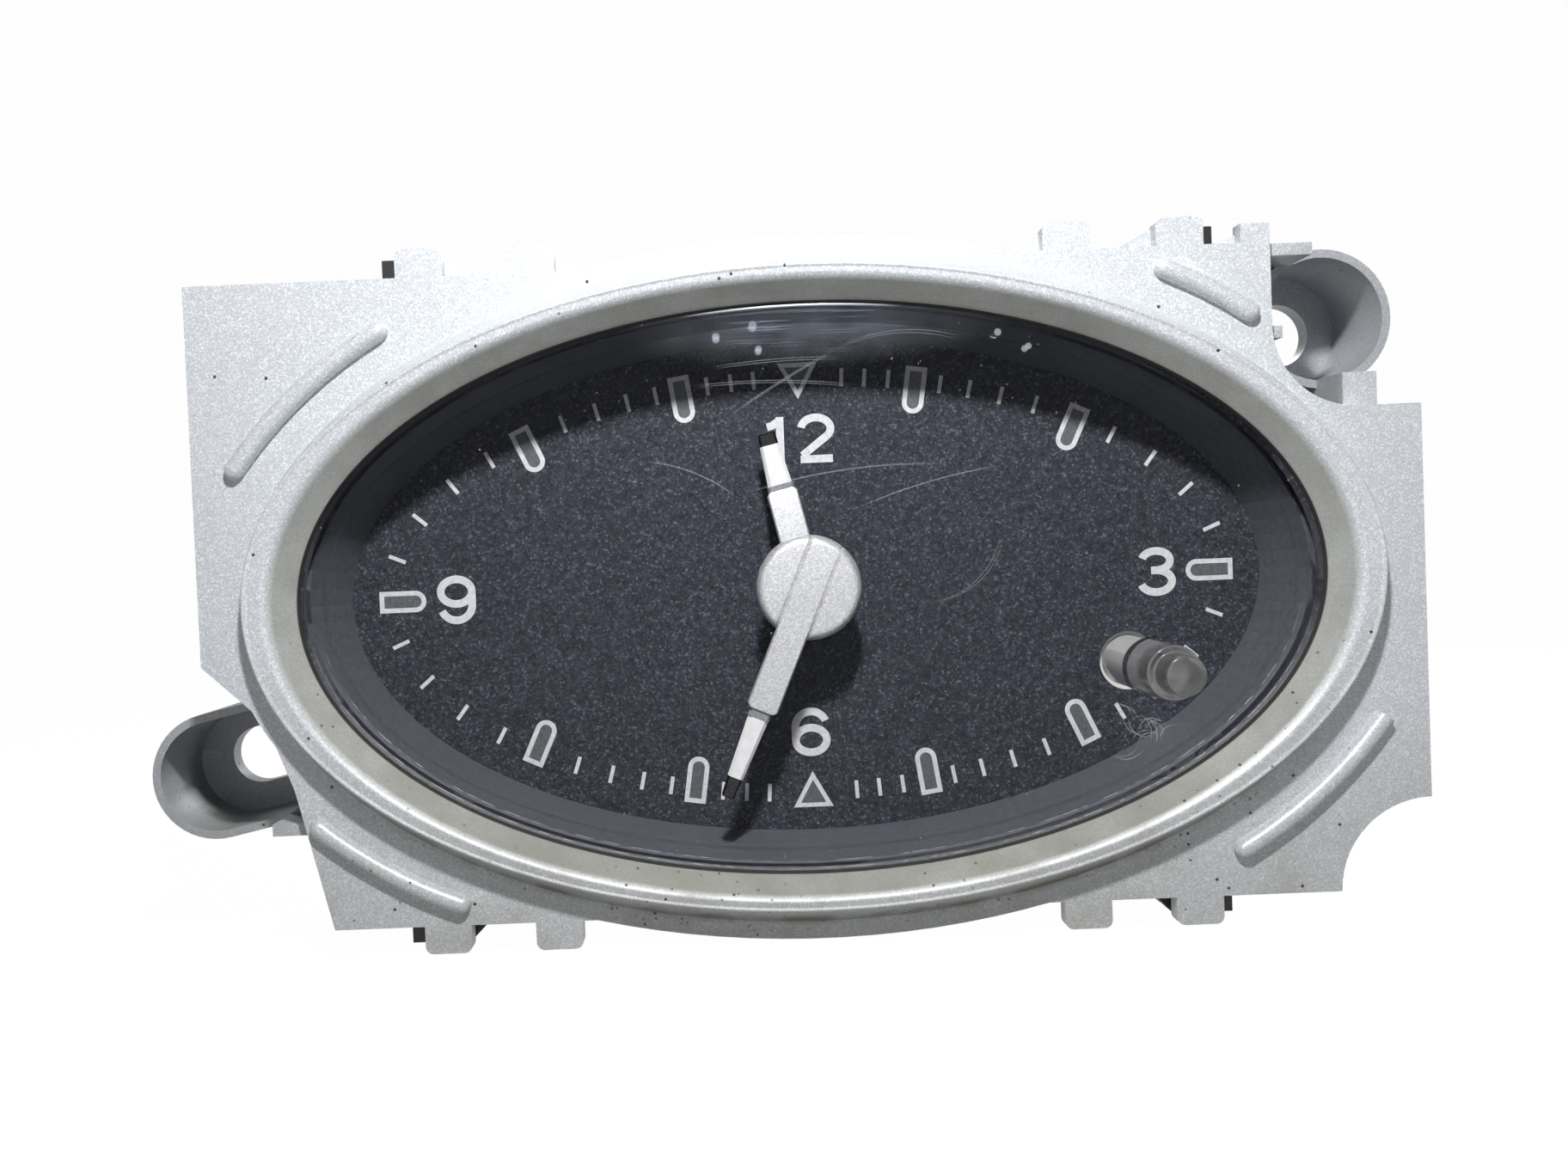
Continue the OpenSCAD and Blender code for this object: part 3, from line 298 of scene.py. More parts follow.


# Clear sheet of the lens: mirrors by angle, with dust, dried drops, fine scratches, fluff and a worn top,
# and painted highlights and sheen along the rim.
# Dust is pitch, radius and share; drops are x, z and radius; hairs and fluff are x, z, x, z and bow.
lensLook = {
    "through": (0.97, 0.97, 0.98, 1.0), "rough": 0.04, "index": 1.1, "wearRough": 0.8,
    "dust": (205, 207, 212), "dustShare": 0.3,
    "dustFine": (1.1, 0.08, 0.35), "dustCoarse": (2.7, 0.13, 0.35),
    "worn": (186, 198, 218), "wornAt": (1, 26.5), "wornReach": (20, 4.5), "wornShare": 0.08,
    "wornCloud": (3.0, 5.0), "wornCloudEdge": (0.3, 0.7), "wornCloudShare": (0.3, 1.0),
    "streak": (9, 0.2), "streakDetail": 2.0, "streakEdge": (0.56, 0.7), "streakReach": (14, 3.6),
    "streakShare": 0.34,
    "drops": [
        (-8.5, 25.4, 0.45), (-4.8, 26.4, 0.5), (-4.3, 24.0, 0.4), (19.5, 24.7, 0.42), (22.5, 23.2, 0.38),
    ],
    "dropEdge": (1.0, 0.7), "dropShare": 0.36,
    "hairs": [
        (-6, 9.8, 14.1, 11.9, 0.9), (4.9, 7.8, 19.4, 11.5, 0.5), (-16.3, 13.4, -6.8, 9.2, 0.8),
        (3.1, 23.7, 16.2, 24.3, 1.3), (-7.4, 17.6, 3.5, 23.8, 0.2), (-9, 22.4, 4, 22.9, 0.3),
        (12, -2, 19.5, 4.5, -1.6), (-11, 20.6, 5, 20.1, 0.5),
    ],
    "hairThin": 0.05, "hairShare": 0.26,
    "fluff": [
        (29.9, -13.2, 32.1, -14.4, 0.7), (31.1, -14.0, 33.8, -16.2, -0.9), (32.6, -16.0, 35.2, -15.0, 0.9),
        (31.9, -17.2, 34.4, -16.1, 0.8), (32.9, -14.1, 33.8, -17.3, 0.6), (29.6, -18.1, 32.7, -17.4, -0.6),
        (34.3, -16.9, 36.1, -15.1, 0.7), (32.5, -14.8, 34.5, -16.8, 1.1),
    ],
    "fluffThin": 0.06, "fluffShare": 0.42,
    # Painted highlights: bright is their colour; the rim and top values place the highlights and the grey
    # sheen.
    "bright": (244, 247, 252), "rim": (51.33, 28.53), "rimTop": -2, "rimFull": -14,
    "rimHighlightBand": (0.9825, 0.9865), "rimBreak": (1.6, 3.0), "rimBreakEdge": (0.42, 0.56), "rimHighlightShare": 0.5,
    "rimSheenEdge": (0.984, 0.99), "rimGreySheen": 0.16,
    "topHighlightBand": (0.984, 0.996), "topAt": (-1, 28.3), "topReach": (12, 2.5),
}


def lensPatch(tree, place, centre, reach):
    # Falls from one near the centre to nothing at the rim of an oval.
    return spread(tree, ovalPlace(tree, place, centre, reach), 1.0, 0.2)


def hairline(tree, place, ends, thin):
    # A line between two points in X and Z, bowed at its middle: thin across, faded towards its ends.
    fade = (1.0, 0.3)
    x1, z1, x2, z2, bow = ends
    half = math.hypot(x2 - x1, z2 - z1) / 2
    moved = add(tree, "Mapping", {
        "Vector": place, "Location": ((x1 + x2) / 2 * mm, 0, (z1 + z2) / 2 * mm),
        "Rotation": (0, -math.atan2(z2 - z1, x2 - x1), 0), "Scale": (half * mm, 1, thin * mm),
    }, vector_type="TEXTURE").outputs[0]
    axes = add(tree, "SeparateXYZ", {0: moved}).outputs
    along = times(tree, axes["X"], axes["X"])
    bent = add(tree, "Math", {0: along, 1: bow / thin, 2: axes["Z"]}, operation="MULTIPLY_ADD").outputs[0]
    across = add(tree, "Math", {0: bent, 1: bow / thin}, operation="SUBTRACT").outputs[0]
    away = add(tree, "Math", {0: across}, operation="ABSOLUTE").outputs[0]
    return times(tree, spread(tree, away, *fade), spread(tree, along, *fade))


def band(tree, value, low, high):
    # One between two values of a measure, nothing outside them, with soft ends.
    soft = (high - low) * 0.4
    return times(tree, spread(tree, value, low, low + soft), spread(tree, value, high, high - soft))


def lensMarks(tree, place, look):
    # Shares of dust, drops, scratches and fluff, each at its own strength.
    dust = larger(tree, spots(tree, place, *look["dustFine"]), spots(tree, place, *look["dustCoarse"]))
    drops = [ovalPlace(tree, place, (x, z), (radius, radius)) for x, z, radius in look["drops"]]
    drops = most(tree, [spread(tree, drop, *look["dropEdge"]) for drop in drops])
    hairs = most(tree, [hairline(tree, place, ends, look["hairThin"]) for ends in look["hairs"]])
    fluff = most(tree, [hairline(tree, place, ends, look["fluffThin"]) for ends in look["fluff"]])
    pairs = [(dust, "dustShare"), (fluff, "fluffShare"), (drops, "dropShare"), (hairs, "hairShare")]
    return [times(tree, mark, look[share]) for mark, share in pairs]


def lensTop(tree, place, look):
    # The worn patch at the top, and the long streaks across it.
    top = lensPatch(tree, place, look["wornAt"], look["wornReach"])
    cloud = noise(tree, place, *look["wornCloud"])
    cloud = spread(tree, cloud, *look["wornCloudEdge"], look["wornCloudShare"])
    long, thin = look["streak"]
    scale = (1 / (long * mm), 0, 1 / (thin * mm))
    drawn = add(tree, "Mapping", {"Vector": place, "Scale": scale}).outputs[0]
    lines = add(tree, "TexNoise", {"Vector": drawn, "Scale": 1.0, "Detail": look["streakDetail"]})
    streaks = spread(tree, lines.outputs["Fac"], *look["streakEdge"])
    streaks = times(tree, streaks, lensPatch(tree, place, look["wornAt"], look["streakReach"]))
    shares = [
        times(tree, times(tree, top, cloud), look["wornShare"]), times(tree, streaks, look["streakShare"]),
    ]
    return top, shares


def lensRimHighlights(tree, place, look):
    # Painted highlights: a broken bright line and a grey sheen on the rim in the lower half, and a bright
    # line along the top edge.
    edge = ovalPlace(tree, place, (0, 0), look["rim"])
    height = add(tree, "SeparateXYZ", {0: place}).outputs["Z"]
    lower = spread(tree, height, look["rimTop"] * mm, look["rimFull"] * mm)
    broken = spread(tree, noise(tree, place, *look["rimBreak"]), *look["rimBreakEdge"])
    line = times(tree, times(tree, band(tree, edge, *look["rimHighlightBand"]), broken), lower)
    grey = times(tree, spread(tree, edge, *look["rimSheenEdge"]), lower)
    topHighlight = lensPatch(tree, place, look["topAt"], look["topReach"])
    topHighlight = times(tree, band(tree, edge, *look["topHighlightBand"]), topHighlight)
    shares = [times(tree, line, look["rimHighlightShare"]), times(tree, grey, look["rimGreySheen"]), topHighlight]
    return larger(tree, topHighlight, line), shares


def lensSheet(name, look):
    made, tree, shader, place = startMaterial(name, Roughness=look["wearRough"])
    marks = lensMarks(tree, place, look)
    top, topShares = lensTop(tree, place, look)
    bright, rimShares = lensRimHighlights(tree, place, look)
    # The share of the lit sheet holds the wear marks and also the painted highlights and sheen.
    wearAndHighlights = most(tree, marks + topShares + rimShares)
    colour = blendColour(tree, top, tone(*look["dust"]), tone(*look["worn"]))
    colour = blendColour(tree, bright, colour, tone(*look["bright"]))
    tree.links.new(colour, shader.inputs["Base Color"])
    clear = add(tree, "BsdfTransparent", {"Color": look["through"]})
    mirror = add(tree, "BsdfGlossy", {"Roughness": look["rough"]})
    angle = add(tree, "Fresnel", {"IOR": look["index"]}).outputs[0]
    sheet = add(tree, "MixShader", {0: angle, 1: clear.outputs[0], 2: mirror.outputs[0]})
    worn = add(tree, "MixShader", {0: wearAndHighlights, 1: sheet.outputs[0], 2: shader.outputs[0]})
    tree.links.new(worn.outputs[0], tree.nodes["Material Output"].inputs["Surface"])
    return made


# Plain finishes: two tones worked together by noise of one size
finishes = {
    "shroud_grey": {
        "tones": [(78, 80, 86), (91, 93, 100)], "size": 0.5, "rough": (0.42, 0.55), "bump": 0.02,
    },
    "guide_white": {"tones": [(216, 216, 210), (232, 232, 228)], "size": 3, "rough": (0.3, 0.4)},
    "housing_black": {
        "tones": [(17, 17, 18), (26, 26, 28)], "size": 0.4, "rough": (0.42, 0.58), "bump": 0.03,
    },
    "board_green": {"tones": [(24, 74, 44), (34, 92, 56)], "size": 2.2, "rough": (0.3, 0.42)},
    "pin_metal": {
        "tones": [(176, 174, 166), (206, 204, 196)], "size": 0.8, "rough": (0.22, 0.34), "metal": 1.0,
    },
    "chip_black": {
        "tones": [(20, 20, 21), (30, 30, 32)], "size": 0.3, "rough": (0.5, 0.62), "bump": 0.01,
    },
    "crystal_can": {
        "tones": [(184, 184, 182), (212, 212, 210)], "size": 1.1, "rough": (0.2, 0.32), "metal": 1.0,
    },
    "capacitor_blue": {"tones": [(28, 44, 92), (38, 58, 112)], "size": 1.4, "rough": (0.26, 0.36)},
    "screw_steel": {
        "tones": [(150, 148, 142), (188, 186, 180)], "size": 0.6, "rough": (0.28, 0.42), "metal": 1.0,
    },
    "movement_ivory": {"tones": [(206, 200, 182), (220, 214, 198)], "size": 1.8, "rough": (0.38, 0.5)},
    "stator_steel": {
        "tones": [(142, 142, 144), (170, 170, 172)], "size": 0.9, "rough": (0.3, 0.42), "metal": 1.0,
    },
    "coil_copper": {
        "tones": [(168, 92, 54), (204, 122, 76)], "size": 0.5, "rough": (0.28, 0.4), "metal": 1.0,
    },
    "rotor_grey": {"tones": [(60, 60, 62), (78, 78, 80)], "size": 0.8, "rough": (0.4, 0.52)},
    "wheel_white": {"tones": [(224, 224, 218), (238, 238, 234)], "size": 1.2, "rough": (0.34, 0.46)},
    "wheel_brass": {
        "tones": [(182, 146, 74), (208, 172, 96)], "size": 0.9, "rough": (0.24, 0.36), "metal": 1.0,
    },
    "holder_grey": {
        "tones": [(112, 112, 108), (128, 128, 124)], "size": 0.6, "rough": (0.42, 0.54), "bump": 0.02,
    },
    "print_white": {"tones": [(214, 215, 218), (236, 236, 238)], "size": 0.5, "rough": (0.6, 0.72)},
    "print_grey": {"tones": [(84, 86, 90), (104, 106, 110)], "size": 0.4, "rough": (0.6, 0.72)},
    "hand_white": {"tones": [(242, 242, 241), (253, 253, 252)], "size": 0.9, "rough": (0.3, 0.42)},
    "hand_black": {"tones": [(10, 10, 11), (18, 18, 20)], "size": 0.6, "rough": (0.2, 0.3)},
    "hand_clear": {"tones": [(128, 130, 134), (160, 162, 166)], "size": 0.4, "rough": (0.12, 0.2)},
}
finishWork = {"detail": 3.0, "toneEdge": (0.35, 0.65), "roughEdge": (0.3, 0.7), "bumpStrength": 0.5}


def plainFinish(name, look):
    made, tree, shader, place = startMaterial(name, Metallic=look.get("metal", 0.0))
    cloud = noise(tree, place, look["size"], finishWork["detail"])
    colour = ramp(tree, cloud, list(zip(finishWork["toneEdge"], look["tones"])))
    tree.links.new(colour, shader.inputs["Base Color"])
    tree.links.new(spread(tree, cloud, *finishWork["roughEdge"], look["rough"]), shader.inputs["Roughness"])
    if "bump" in look:
        bump(tree, shader, cloud, look["bump"], finishWork["bumpStrength"])
    return made


# Clear plastic of the button, milky towards its foot, and of the bulbs
clearLooks = {
    "button_clear": {
        "tones": [(112, 113, 114), (142, 143, 144)], "through": 0.8, "rough": (0.1, 0.22),
        "milk": (206, 206, 204), "milkFrom": 1.0, "milkFull": 3.4, "milkThrough": 0.2,
    },
    "bulb_glass": {"tones": [(226, 228, 230), (244, 246, 248)], "through": 0.9, "rough": (0.03, 0.06)},
}
clearWork = {"index": 1.46, "cloud": (0.9, 3.0), "cloudEdge": (0.3, 0.7)}


def clearPlastic(name, look):
    made, tree, shader, place = startMaterial(
        name, Transmission_Weight=look["through"], IOR=clearWork["index"],
    )
    cloud = noise(tree, place, *clearWork["cloud"])
    colour = ramp(tree, cloud, list(zip(clearWork["cloudEdge"], look["tones"])))
    if "milk" in look:
        depth = add(tree, "SeparateXYZ", {0: place}).outputs["Y"]
        milky = spread(tree, depth, look["milkFrom"] * mm, look["milkFull"] * mm)
        colour = blendColour(tree, milky, colour, tone(*look["milk"]))
        through = spread(tree, milky, 0, 1, (look["through"], look["milkThrough"]))
        tree.links.new(through, shader.inputs["Transmission Weight"])
    tree.links.new(colour, shader.inputs["Base Color"])
    tree.links.new(spread(tree, cloud, *clearWork["cloudEdge"], look["rough"]), shader.inputs["Roughness"])
    return made


materials = {name: plainFinish(name, look) for name, look in finishes.items()}
materials.update({name: clearPlastic(name, look) for name, look in clearLooks.items()})
materials["frame_silver"] = silverPaint("frame_silver", silverLook)
materials["bezel_silver"] = silverPaint("bezel_silver", bezelPaint)
materials["hand_silver"] = silverPaint("hand_silver", handLook)
materials["dial_charcoal"] = dialPaint("dial_charcoal", dialLook)
materials["lens_clear"] = lensSheet("lens_clear", lensLook)
print("materials made")


# Meshes
def addPiece(name, data, body, finish, sharp=35):
    # A mesh in metres as a piece of a CAD body, smooth but for edges sharper than the angle.
    data.polygons.foreach_set("use_smooth", np.ones(len(data.polygons), bool))
    data.set_sharp_from_angle(angle=math.radians(sharp))
    data.materials.clear()
    data.materials.append(materials[finish])
    piece = bpy.data.objects.new(name, data)
    bpy.context.scene.collection.objects.link(piece)
    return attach(piece, body)


def meshOf(name, points, faces, closed=True):
    # Points in millimetres; a closed mesh gets its faces turned outward.
    data = bpy.data.meshes.new(name)
    data.from_pydata((np.asarray(points).reshape(-1, 3) * mm).tolist(), [], faces)
    if closed:
        work = bmesh.new()
        work.from_mesh(data)
        bmesh.ops.recalc_face_normals(work, faces=work.faces)
        work.to_mesh(data)
        work.free()
    return data


def gridFaces(rows, columns, closeRows=False, closeColumns=False):
    # Each quad joins a grid point to its next neighbours along the row and the column.
    row = np.arange(rows if closeRows else rows - 1)
    column = np.arange(columns if closeColumns else columns - 1)
    row, column = np.meshgrid(row, column, indexing="ij")
    nextRow = (row + 1) % rows
    nextColumn = (column + 1) % columns
    corners = [(row, column), (row, nextColumn), (nextRow, nextColumn), (nextRow, column)]
    return np.stack([down * columns + along for down, along in corners], -1).reshape(-1, 4)


def loft(name, sections, closeRows=False):
    # Closed sections of equal count, one after the other, with the two end sections filled.
    sections = np.asarray(sections, float)
    rows, columns = sections.shape[:2]
    faces = gridFaces(rows, columns, closeRows, True).tolist()
    if not closeRows:
        faces += [list(range(columns)), list(range((rows - 1) * columns, rows * columns))]
    return meshOf(name, sections, faces)


def joined(name, parts):
    # Several meshes as one.
    work = bmesh.new()
    for part in parts:
        work.from_mesh(part)
        bpy.data.meshes.remove(part)
    data = bpy.data.meshes.new(name)
    work.to_mesh(data)
    work.free()
    return data


# Copies of CAD nodes: lengths in millimetres, angles in degrees
copyLook = {"weld": 0.002, "flat": 0.5, "sharp": 32, "edgeAngle": 40, "edgeSteps": 2}


def nodeCopy(node, finish, edge, dropFaces=None):
    # A CAD node welded and smoothed, its edges broken by a small bevel.
    source = frame["nodes"][node]
    flat = math.radians(copyLook["flat"])
    work = bmesh.new()
    work.from_mesh(source.data)
    bmesh.ops.remove_doubles(work, verts=work.verts, dist=copyLook["weld"] * mm)
    bmesh.ops.dissolve_limit(work, angle_limit=flat, verts=work.verts, edges=work.edges)
    if dropFaces:
        lost = [face for face in work.faces if dropFaces(face.calc_center_median() / mm)]
        bmesh.ops.delete(work, geom=lost, context="FACES")
    data = bpy.data.meshes.new(node + "Skin")
    work.to_mesh(data)
    work.free()
    body = source.parent.name.removeprefix("body:")
    piece = addPiece(node + "Skin", data, body, finish, copyLook["sharp"])
    bevel = piece.modifiers.new("edges", "BEVEL")
    bevel.width = edge * mm
    bevel.segments = copyLook["edgeSteps"]
    bevel.limit_method = "ANGLE"
    bevel.angle_limit = math.radians(copyLook["edgeAngle"])
    bevel.harden_normals = True
    bevel.use_clamp_overlap = True
    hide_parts(node)
    return piece


# CAD nodes that keep their own mesh, by the finish that each one gets
nodesBySlot = {
    "guide_white": ["light_guide"],
    "shroud_grey": ["shroud"],
    "dial_charcoal": ["dial"],
    "board_green": ["circuit_board"],
    "pin_metal": ["connector_pins"],
    "chip_black": ["clock_chip", "switch_body"],
    "crystal_can": ["quartz_crystal"],
    "capacitor_blue": ["capacitor"],
    "screw_steel": ["board_screws", "movement_screws"],
    "movement_ivory": ["movement_front_plate", "movement_back_plate", "coil_bobbin"],
    "stator_steel": ["stator", "coil_core"],
    "coil_copper": ["coil_winding"],
    "rotor_grey": ["rotor", "switch_plunger"],
    "wheel_white": ["intermediate_wheel", "motion_wheel", "hour_wheel"],
    "wheel_brass": ["centre_wheel", "cannon_pinion"],
    "bulb_glass": ["bulb_left", "bulb_right"],
}
for slot, nodes in nodesBySlot.items():
    for node in nodes:
        cadNode = frame["nodes"][node]
        cadNode.data.materials.clear()
        cadNode.data.materials.append(materials[slot])
print("CAD nodes dressed")


# Oval bezel: half width, half height and depth of each ring, from the foot in the plate to the lens.
# Foot and bore bound the faces of the CAD frame that the bezel stands for.
bezelLook = {
    "turns": 360, "sharp": 60, "plateEdge": 0.22,
    "rings": [
        (56.95, 33.5, 0.2), (56.88, 33.42, -0.03), (56.7, 33.1, -0.5), (56.45, 32.3, -1.75),
        (56.38, 32.02, -2.2), (56.31, 31.88, -2.42), (56.2, 31.77, -2.5), (56.05, 31.65, -2.46),
        (55.88, 31.52, -2.36), (55.7, 31.4, -2.33), (54.7, 31.1, -2.34), (54.4, 30.9, -2.28),
        (54.15, 30.7, -2.14), (53.9, 30.5, -1.96), (53.7, 30.34, -1.8), (51.8, 28.9, -0.36),
        (51.52, 28.68, -0.12), (51.36, 28.56, 0.06), (51.33, 28.53, 2.0),
    ],
    "foot": (56.85, 33.05), "footDepth": -0.02, "bore": (51.6, 28.8), "boreBand": 0.97, "boreDepth": 1.95,
}


def ovalRings(rings, turns):
    # Each ring is the ellipse x = a cos t, z = b sin t at its own depth.
    t = np.linspace(0, 2 * np.pi, turns, endpoint=False)
    a, b, depth = (np.array(column)[:, None] for column in zip(*rings))
    return np.stack([a * np.cos(t), depth + 0 * t, b * np.sin(t)], -1)


def bezelMesh(look):
    rings = ovalRings(look["rings"], look["turns"])
    faces = gridFaces(len(look["rings"]), look["turns"], False, True)[:, ::-1]
    return meshOf("bezel", rings, faces.tolist(), closed=False)


def onBezel(at):
    # Faces of the CAD ring in front of the plate and inside the foot, and those of the bore's wall.
    foot, bore = (math.hypot(at.x / a, at.z / b) for a, b in (bezelLook["foot"], bezelLook["bore"]))
    onWall = bezelLook["boreBand"] < bore < 1 and at.y < bezelLook["boreDepth"]
    return onWall or (foot < 1 and at.y < bezelLook["footDepth"])


bezel = addPiece("bezel", bezelMesh(bezelLook), "case", "bezel_silver", bezelLook["sharp"])
frameSkin = nodeCopy("front_frame", "frame_silver", bezelLook["plateEdge"], onBezel)
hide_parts("front_frame")
print("frame and bezel made")


# Rear moulding, bulb holders, lens and button: softened copies, each with its finish and edge
copies = {
    "rear_housing": ("housing_black", 0.35),
    "bulb_holder_left": ("holder_grey", 0.15),
    "bulb_holder_right": ("holder_grey", 0.15),
    "lens": ("lens_clear", 0.12),
    "set_button": ("button_clear", 0.22),
}
for node, (slot, edge) in copies.items():
    nodeCopy(node, slot, edge)
for name in ("lensSkin", "set_buttonSkin"):
    bpy.data.objects[name].visible_shadow = False  # clear, so the lamps reach the dial
print("rear, lens and button made")


# Dial print: strokes of even width, a few hundredths of a millimetre proud of the dial.
# Marks are given in one quarter of the dial; ticks next to the marks at twelve and six are left out.
printLook = {
    "proud": 0.04, "sunk": 0.02, "stroke": 0.5, "tick": (0.4, 1.9), "tickOval": (44.5, 22.2),
    "skipped": (1, 29, 31, 59), "mark": (2.3, 5.0), "markPlaces": [(12.39, 20.38), (28.99, 15.68)],
    "sideMark": 43.15, "triangle": [(0.0, 20.4), (1.75, 23.55), (-1.75, 23.55)], "triangleStroke": 0.45,
    "fillSunk": 0.015, "numeral": 0.82, "digit": (3.5, 4.4), "layer": 0.004,
    "digitPlaces": {"1": (-2.35, 15.7), "2": (1.75, 15.7), "3": (37.5, 0), "6": (0, -15.7), "9": (-37.4, 0)},
}
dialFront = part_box("dial")[0].y / mm
printFront = dialFront - printLook["proud"]
printBack = dialFront + printLook["sunk"]


def strokeMesh(name, path, width, closed=False, lift=0.0):
    # A flat band along a path in the dial's plane: the path moved by half the width, mitred at corners.
    path = np.asarray(path, float)
    ahead = np.roll(path, -1, 0) - path
    behind = path - np.roll(path, 1, 0)
    if not closed:
        ahead[-1] = behind[-1]
        behind[0] = ahead[0]
    ahead /= np.linalg.norm(ahead, axis=1)[:, None]
    behind /= np.linalg.norm(behind, axis=1)[:, None]
    side = np.stack([-(ahead + behind)[:, 1], (ahead + behind)[:, 0]], -1)
    side /= (side * np.stack([-ahead[:, 1], ahead[:, 0]], -1)).sum(1)[:, None]
    left = path + side * width / 2
    right = path - side * width / 2
    front = printFront - lift
    corners = [(left, front), (right, front), (right, printBack), (left, printBack)]
    sections = [np.stack([edge[:, 0], np.full(len(edge), y), edge[:, 1]], -1) for edge, y in corners]
    return loft(name, np.stack(sections, 1), closed)


def arc(centre, radii, start, end, count=24):
    t = np.radians(np.linspace(start, end, count))
    return np.stack([centre[0] + radii[0] * np.cos(t), centre[1] + radii[1] * np.sin(t)], -1)


def patchMesh(name, outline):
    # A filled flat outline, a little lower than the strokes.
    x, z = outline.T
    depths = (printFront + printLook["fillSunk"], printBack)
    return loft(name, [np.stack([x, np.full(len(x), y), z], -1) for y in depths])


def turned(path, angle, centre):
    c, s = math.cos(angle), math.sin(angle)
    return np.asarray(path) @ np.array([[c, s], [-s, c]]) + np.asarray(centre)


def outwardAngle(at, oval):
    # Turn that takes +z to the oval's outward normal at a point.
    return -math.atan2(at[0] / oval[0] ** 2, at[1] / oval[1] ** 2)


def hourMark():
    # Straight sides and a flat outer end, with a half round towards the middle.
    half = (printLook["mark"][0] - printLook["stroke"]) / 2
    top = (printLook["mark"][1] - printLook["stroke"]) / 2
    return np.vstack([[(half, top), (-half, top)], arc((0, half - top), (half, half), 180, 360, 17)])


def markOutlines():
    # Outline and stroke of each hour mark, with triangles at twelve and six.
    signs = [(right, up) for right in (1, -1) for up in (1, -1)]
    places = [(x * right, z * up) for x, z in printLook["markPlaces"] for right, up in signs]
    places += [(printLook["sideMark"], 0.0), (-printLook["sideMark"], 0.0)]
    outlines = []
    for at in places:
        outline = turned(hourMark(), outwardAngle(at, printLook["tickOval"]), at)
        outlines.append((outline, printLook["stroke"]))
    for up in (1, -1):
        outlines.append((np.array(printLook["triangle"]) * [1, up], printLook["triangleStroke"]))
    return outlines


def ticks():
    # A tick on each minute ray between the hours, along the oval's normal there.
    made = []
    a, b = printLook["tickOval"]
    half = printLook["tick"][1] / 2
    for minute in range(60):
        if minute % 5 == 0 or minute in printLook["skipped"]:
            continue
        ray = np.array([math.sin(math.radians(6 * minute)), math.cos(math.radians(6 * minute))])
        at = ray / math.hypot(ray[0] / a, ray[1] / b)
        path = turned([(0, -half), (0, half)], outwardAngle(at, (a, b)), at)
        made.append(strokeMesh("tick", path, printLook["tick"][0]))
    return made


def numeralPaths():
    # Centre lines of the numerals about their middles, from lines and arcs: shares of half width and height.
    w, h = printLook["digit"][0] / 2, printLook["digit"][1] / 2
    stem = np.array([(0.16 * w, -h * 1.09), (0.16 * w, h * 1.09)])
    flag = np.array([(0.02 * w, 0.86 * h), (-0.3 * w, 0.68 * h), (-0.62 * w, 0.62 * h)])
    top = arc((0, 0.46 * h), (w * 0.9, 0.54 * h), 172, -38, 30)
    neck = np.vstack([top, [(-0.86 * w, -0.82 * h)]])
    base = np.array([(-w * 0.98, -h), (w * 0.98, -h)])
    upper = arc((0, 0.53 * h), (w * 0.86, 0.47 * h), 165, -90, 34)
    upper = np.vstack([upper, [(-0.3 * w, 0.06 * h)]])
    lower = arc((0, -0.47 * h), (w * 0.95, 0.53 * h), 90, -163, 36)
    loop = arc((0, -0.40 * h), (w * 0.95, 0.60 * h), 0, 360, 49)[:-1]
    tail = arc((0.02, 0.25 * h), (w * 0.96, 0.75 * h), 180, 22, 30)
    tail = np.vstack([[(-w * 0.95, -0.40 * h)], tail])
    return {
        "1": [(stem, False), (flag, False)],
        "2": [(neck, False), (base, False)],
        "3": [(upper, False), (lower, False)],
        "6": [(loop, True), (tail, False)],
        "9": [(-loop, True), (-tail, False)],
    }


def numeralMeshes():
    # Strokes that cross in a numeral lie a hair apart in depth.
    made = []
    for digit, paths in numeralPaths().items():
        centre = np.array(printLook["digitPlaces"][digit])
        for layer, (path, closed) in enumerate(paths):
            lift = printLook["layer"] * layer
            made.append(strokeMesh("digit", path + centre, printLook["numeral"], closed, lift))
    return made


outlines = markOutlines()
dialPrint = {
    "hourMarks": ([strokeMesh("mark", outline, width, True) for outline, width in outlines], "print_white"),
    "markFills": ([patchMesh("fill", outline) for outline, width in outlines], "print_grey"),
    "minuteTicks": (ticks(), "print_white"),
    "numerals": (numeralMeshes(), "print_white"),
}
for name, (parts, finish) in dialPrint.items():
    addPiece(name, joined(name, parts), "case", finish)
print("dial printed")


# Hands: a bar with bevelled sides, a clear neck, a white pointer and a black tip.
# Bar and neck are width and far end; pointer and tip are width at both ends and far end.
minuteLook = {
    "angle": 203.5, "front": 2.42, "back": 3.75, "bar": (3.25, 13.5), "neck": (2.35, 14.35),
    "pointer": (2.15, 1.62, 20.9), "tip": (1.62, 1.3, 23.1), "insetFront": 2.74,
}
hourLook = {
    "angle": 347.0, "front": 5.02, "back": 6.18, "bar": (3.2, 10.4), "neck": (2.75, 11.0),
    "pointer": (2.55, 1.98, 15.2), "tip": (1.98, 1.8, 16.5), "insetFront": 5.2,
}
# Both hands: flat is how much narrower the front is, drop and shoulder are depths behind the front.
handForm = {
    "barFlat": 0.3, "barShoulder": 0.18, "barRun": 0.35,
    "barEndIn": 0.5, "barEndFlat": 0.4, "barEndDrop": 0.12, "barEndShoulder": 0.4,
    "neckOverlap": 0.2, "neckFlat": 0.5, "neckShoulder": 0.3,
    "pointerFlat": (0.7, 0.55), "pointerDrop": 0.05, "pointerShoulder": 0.35,
    "tipFlat": (0.5, 0.4, 0.4), "tipDrop": (0.08, 0.3), "tipShoulder": (0.35, 0.5),
    "tipRun": 0.15, "tipIn": 0.1, "sharp": 20,
}


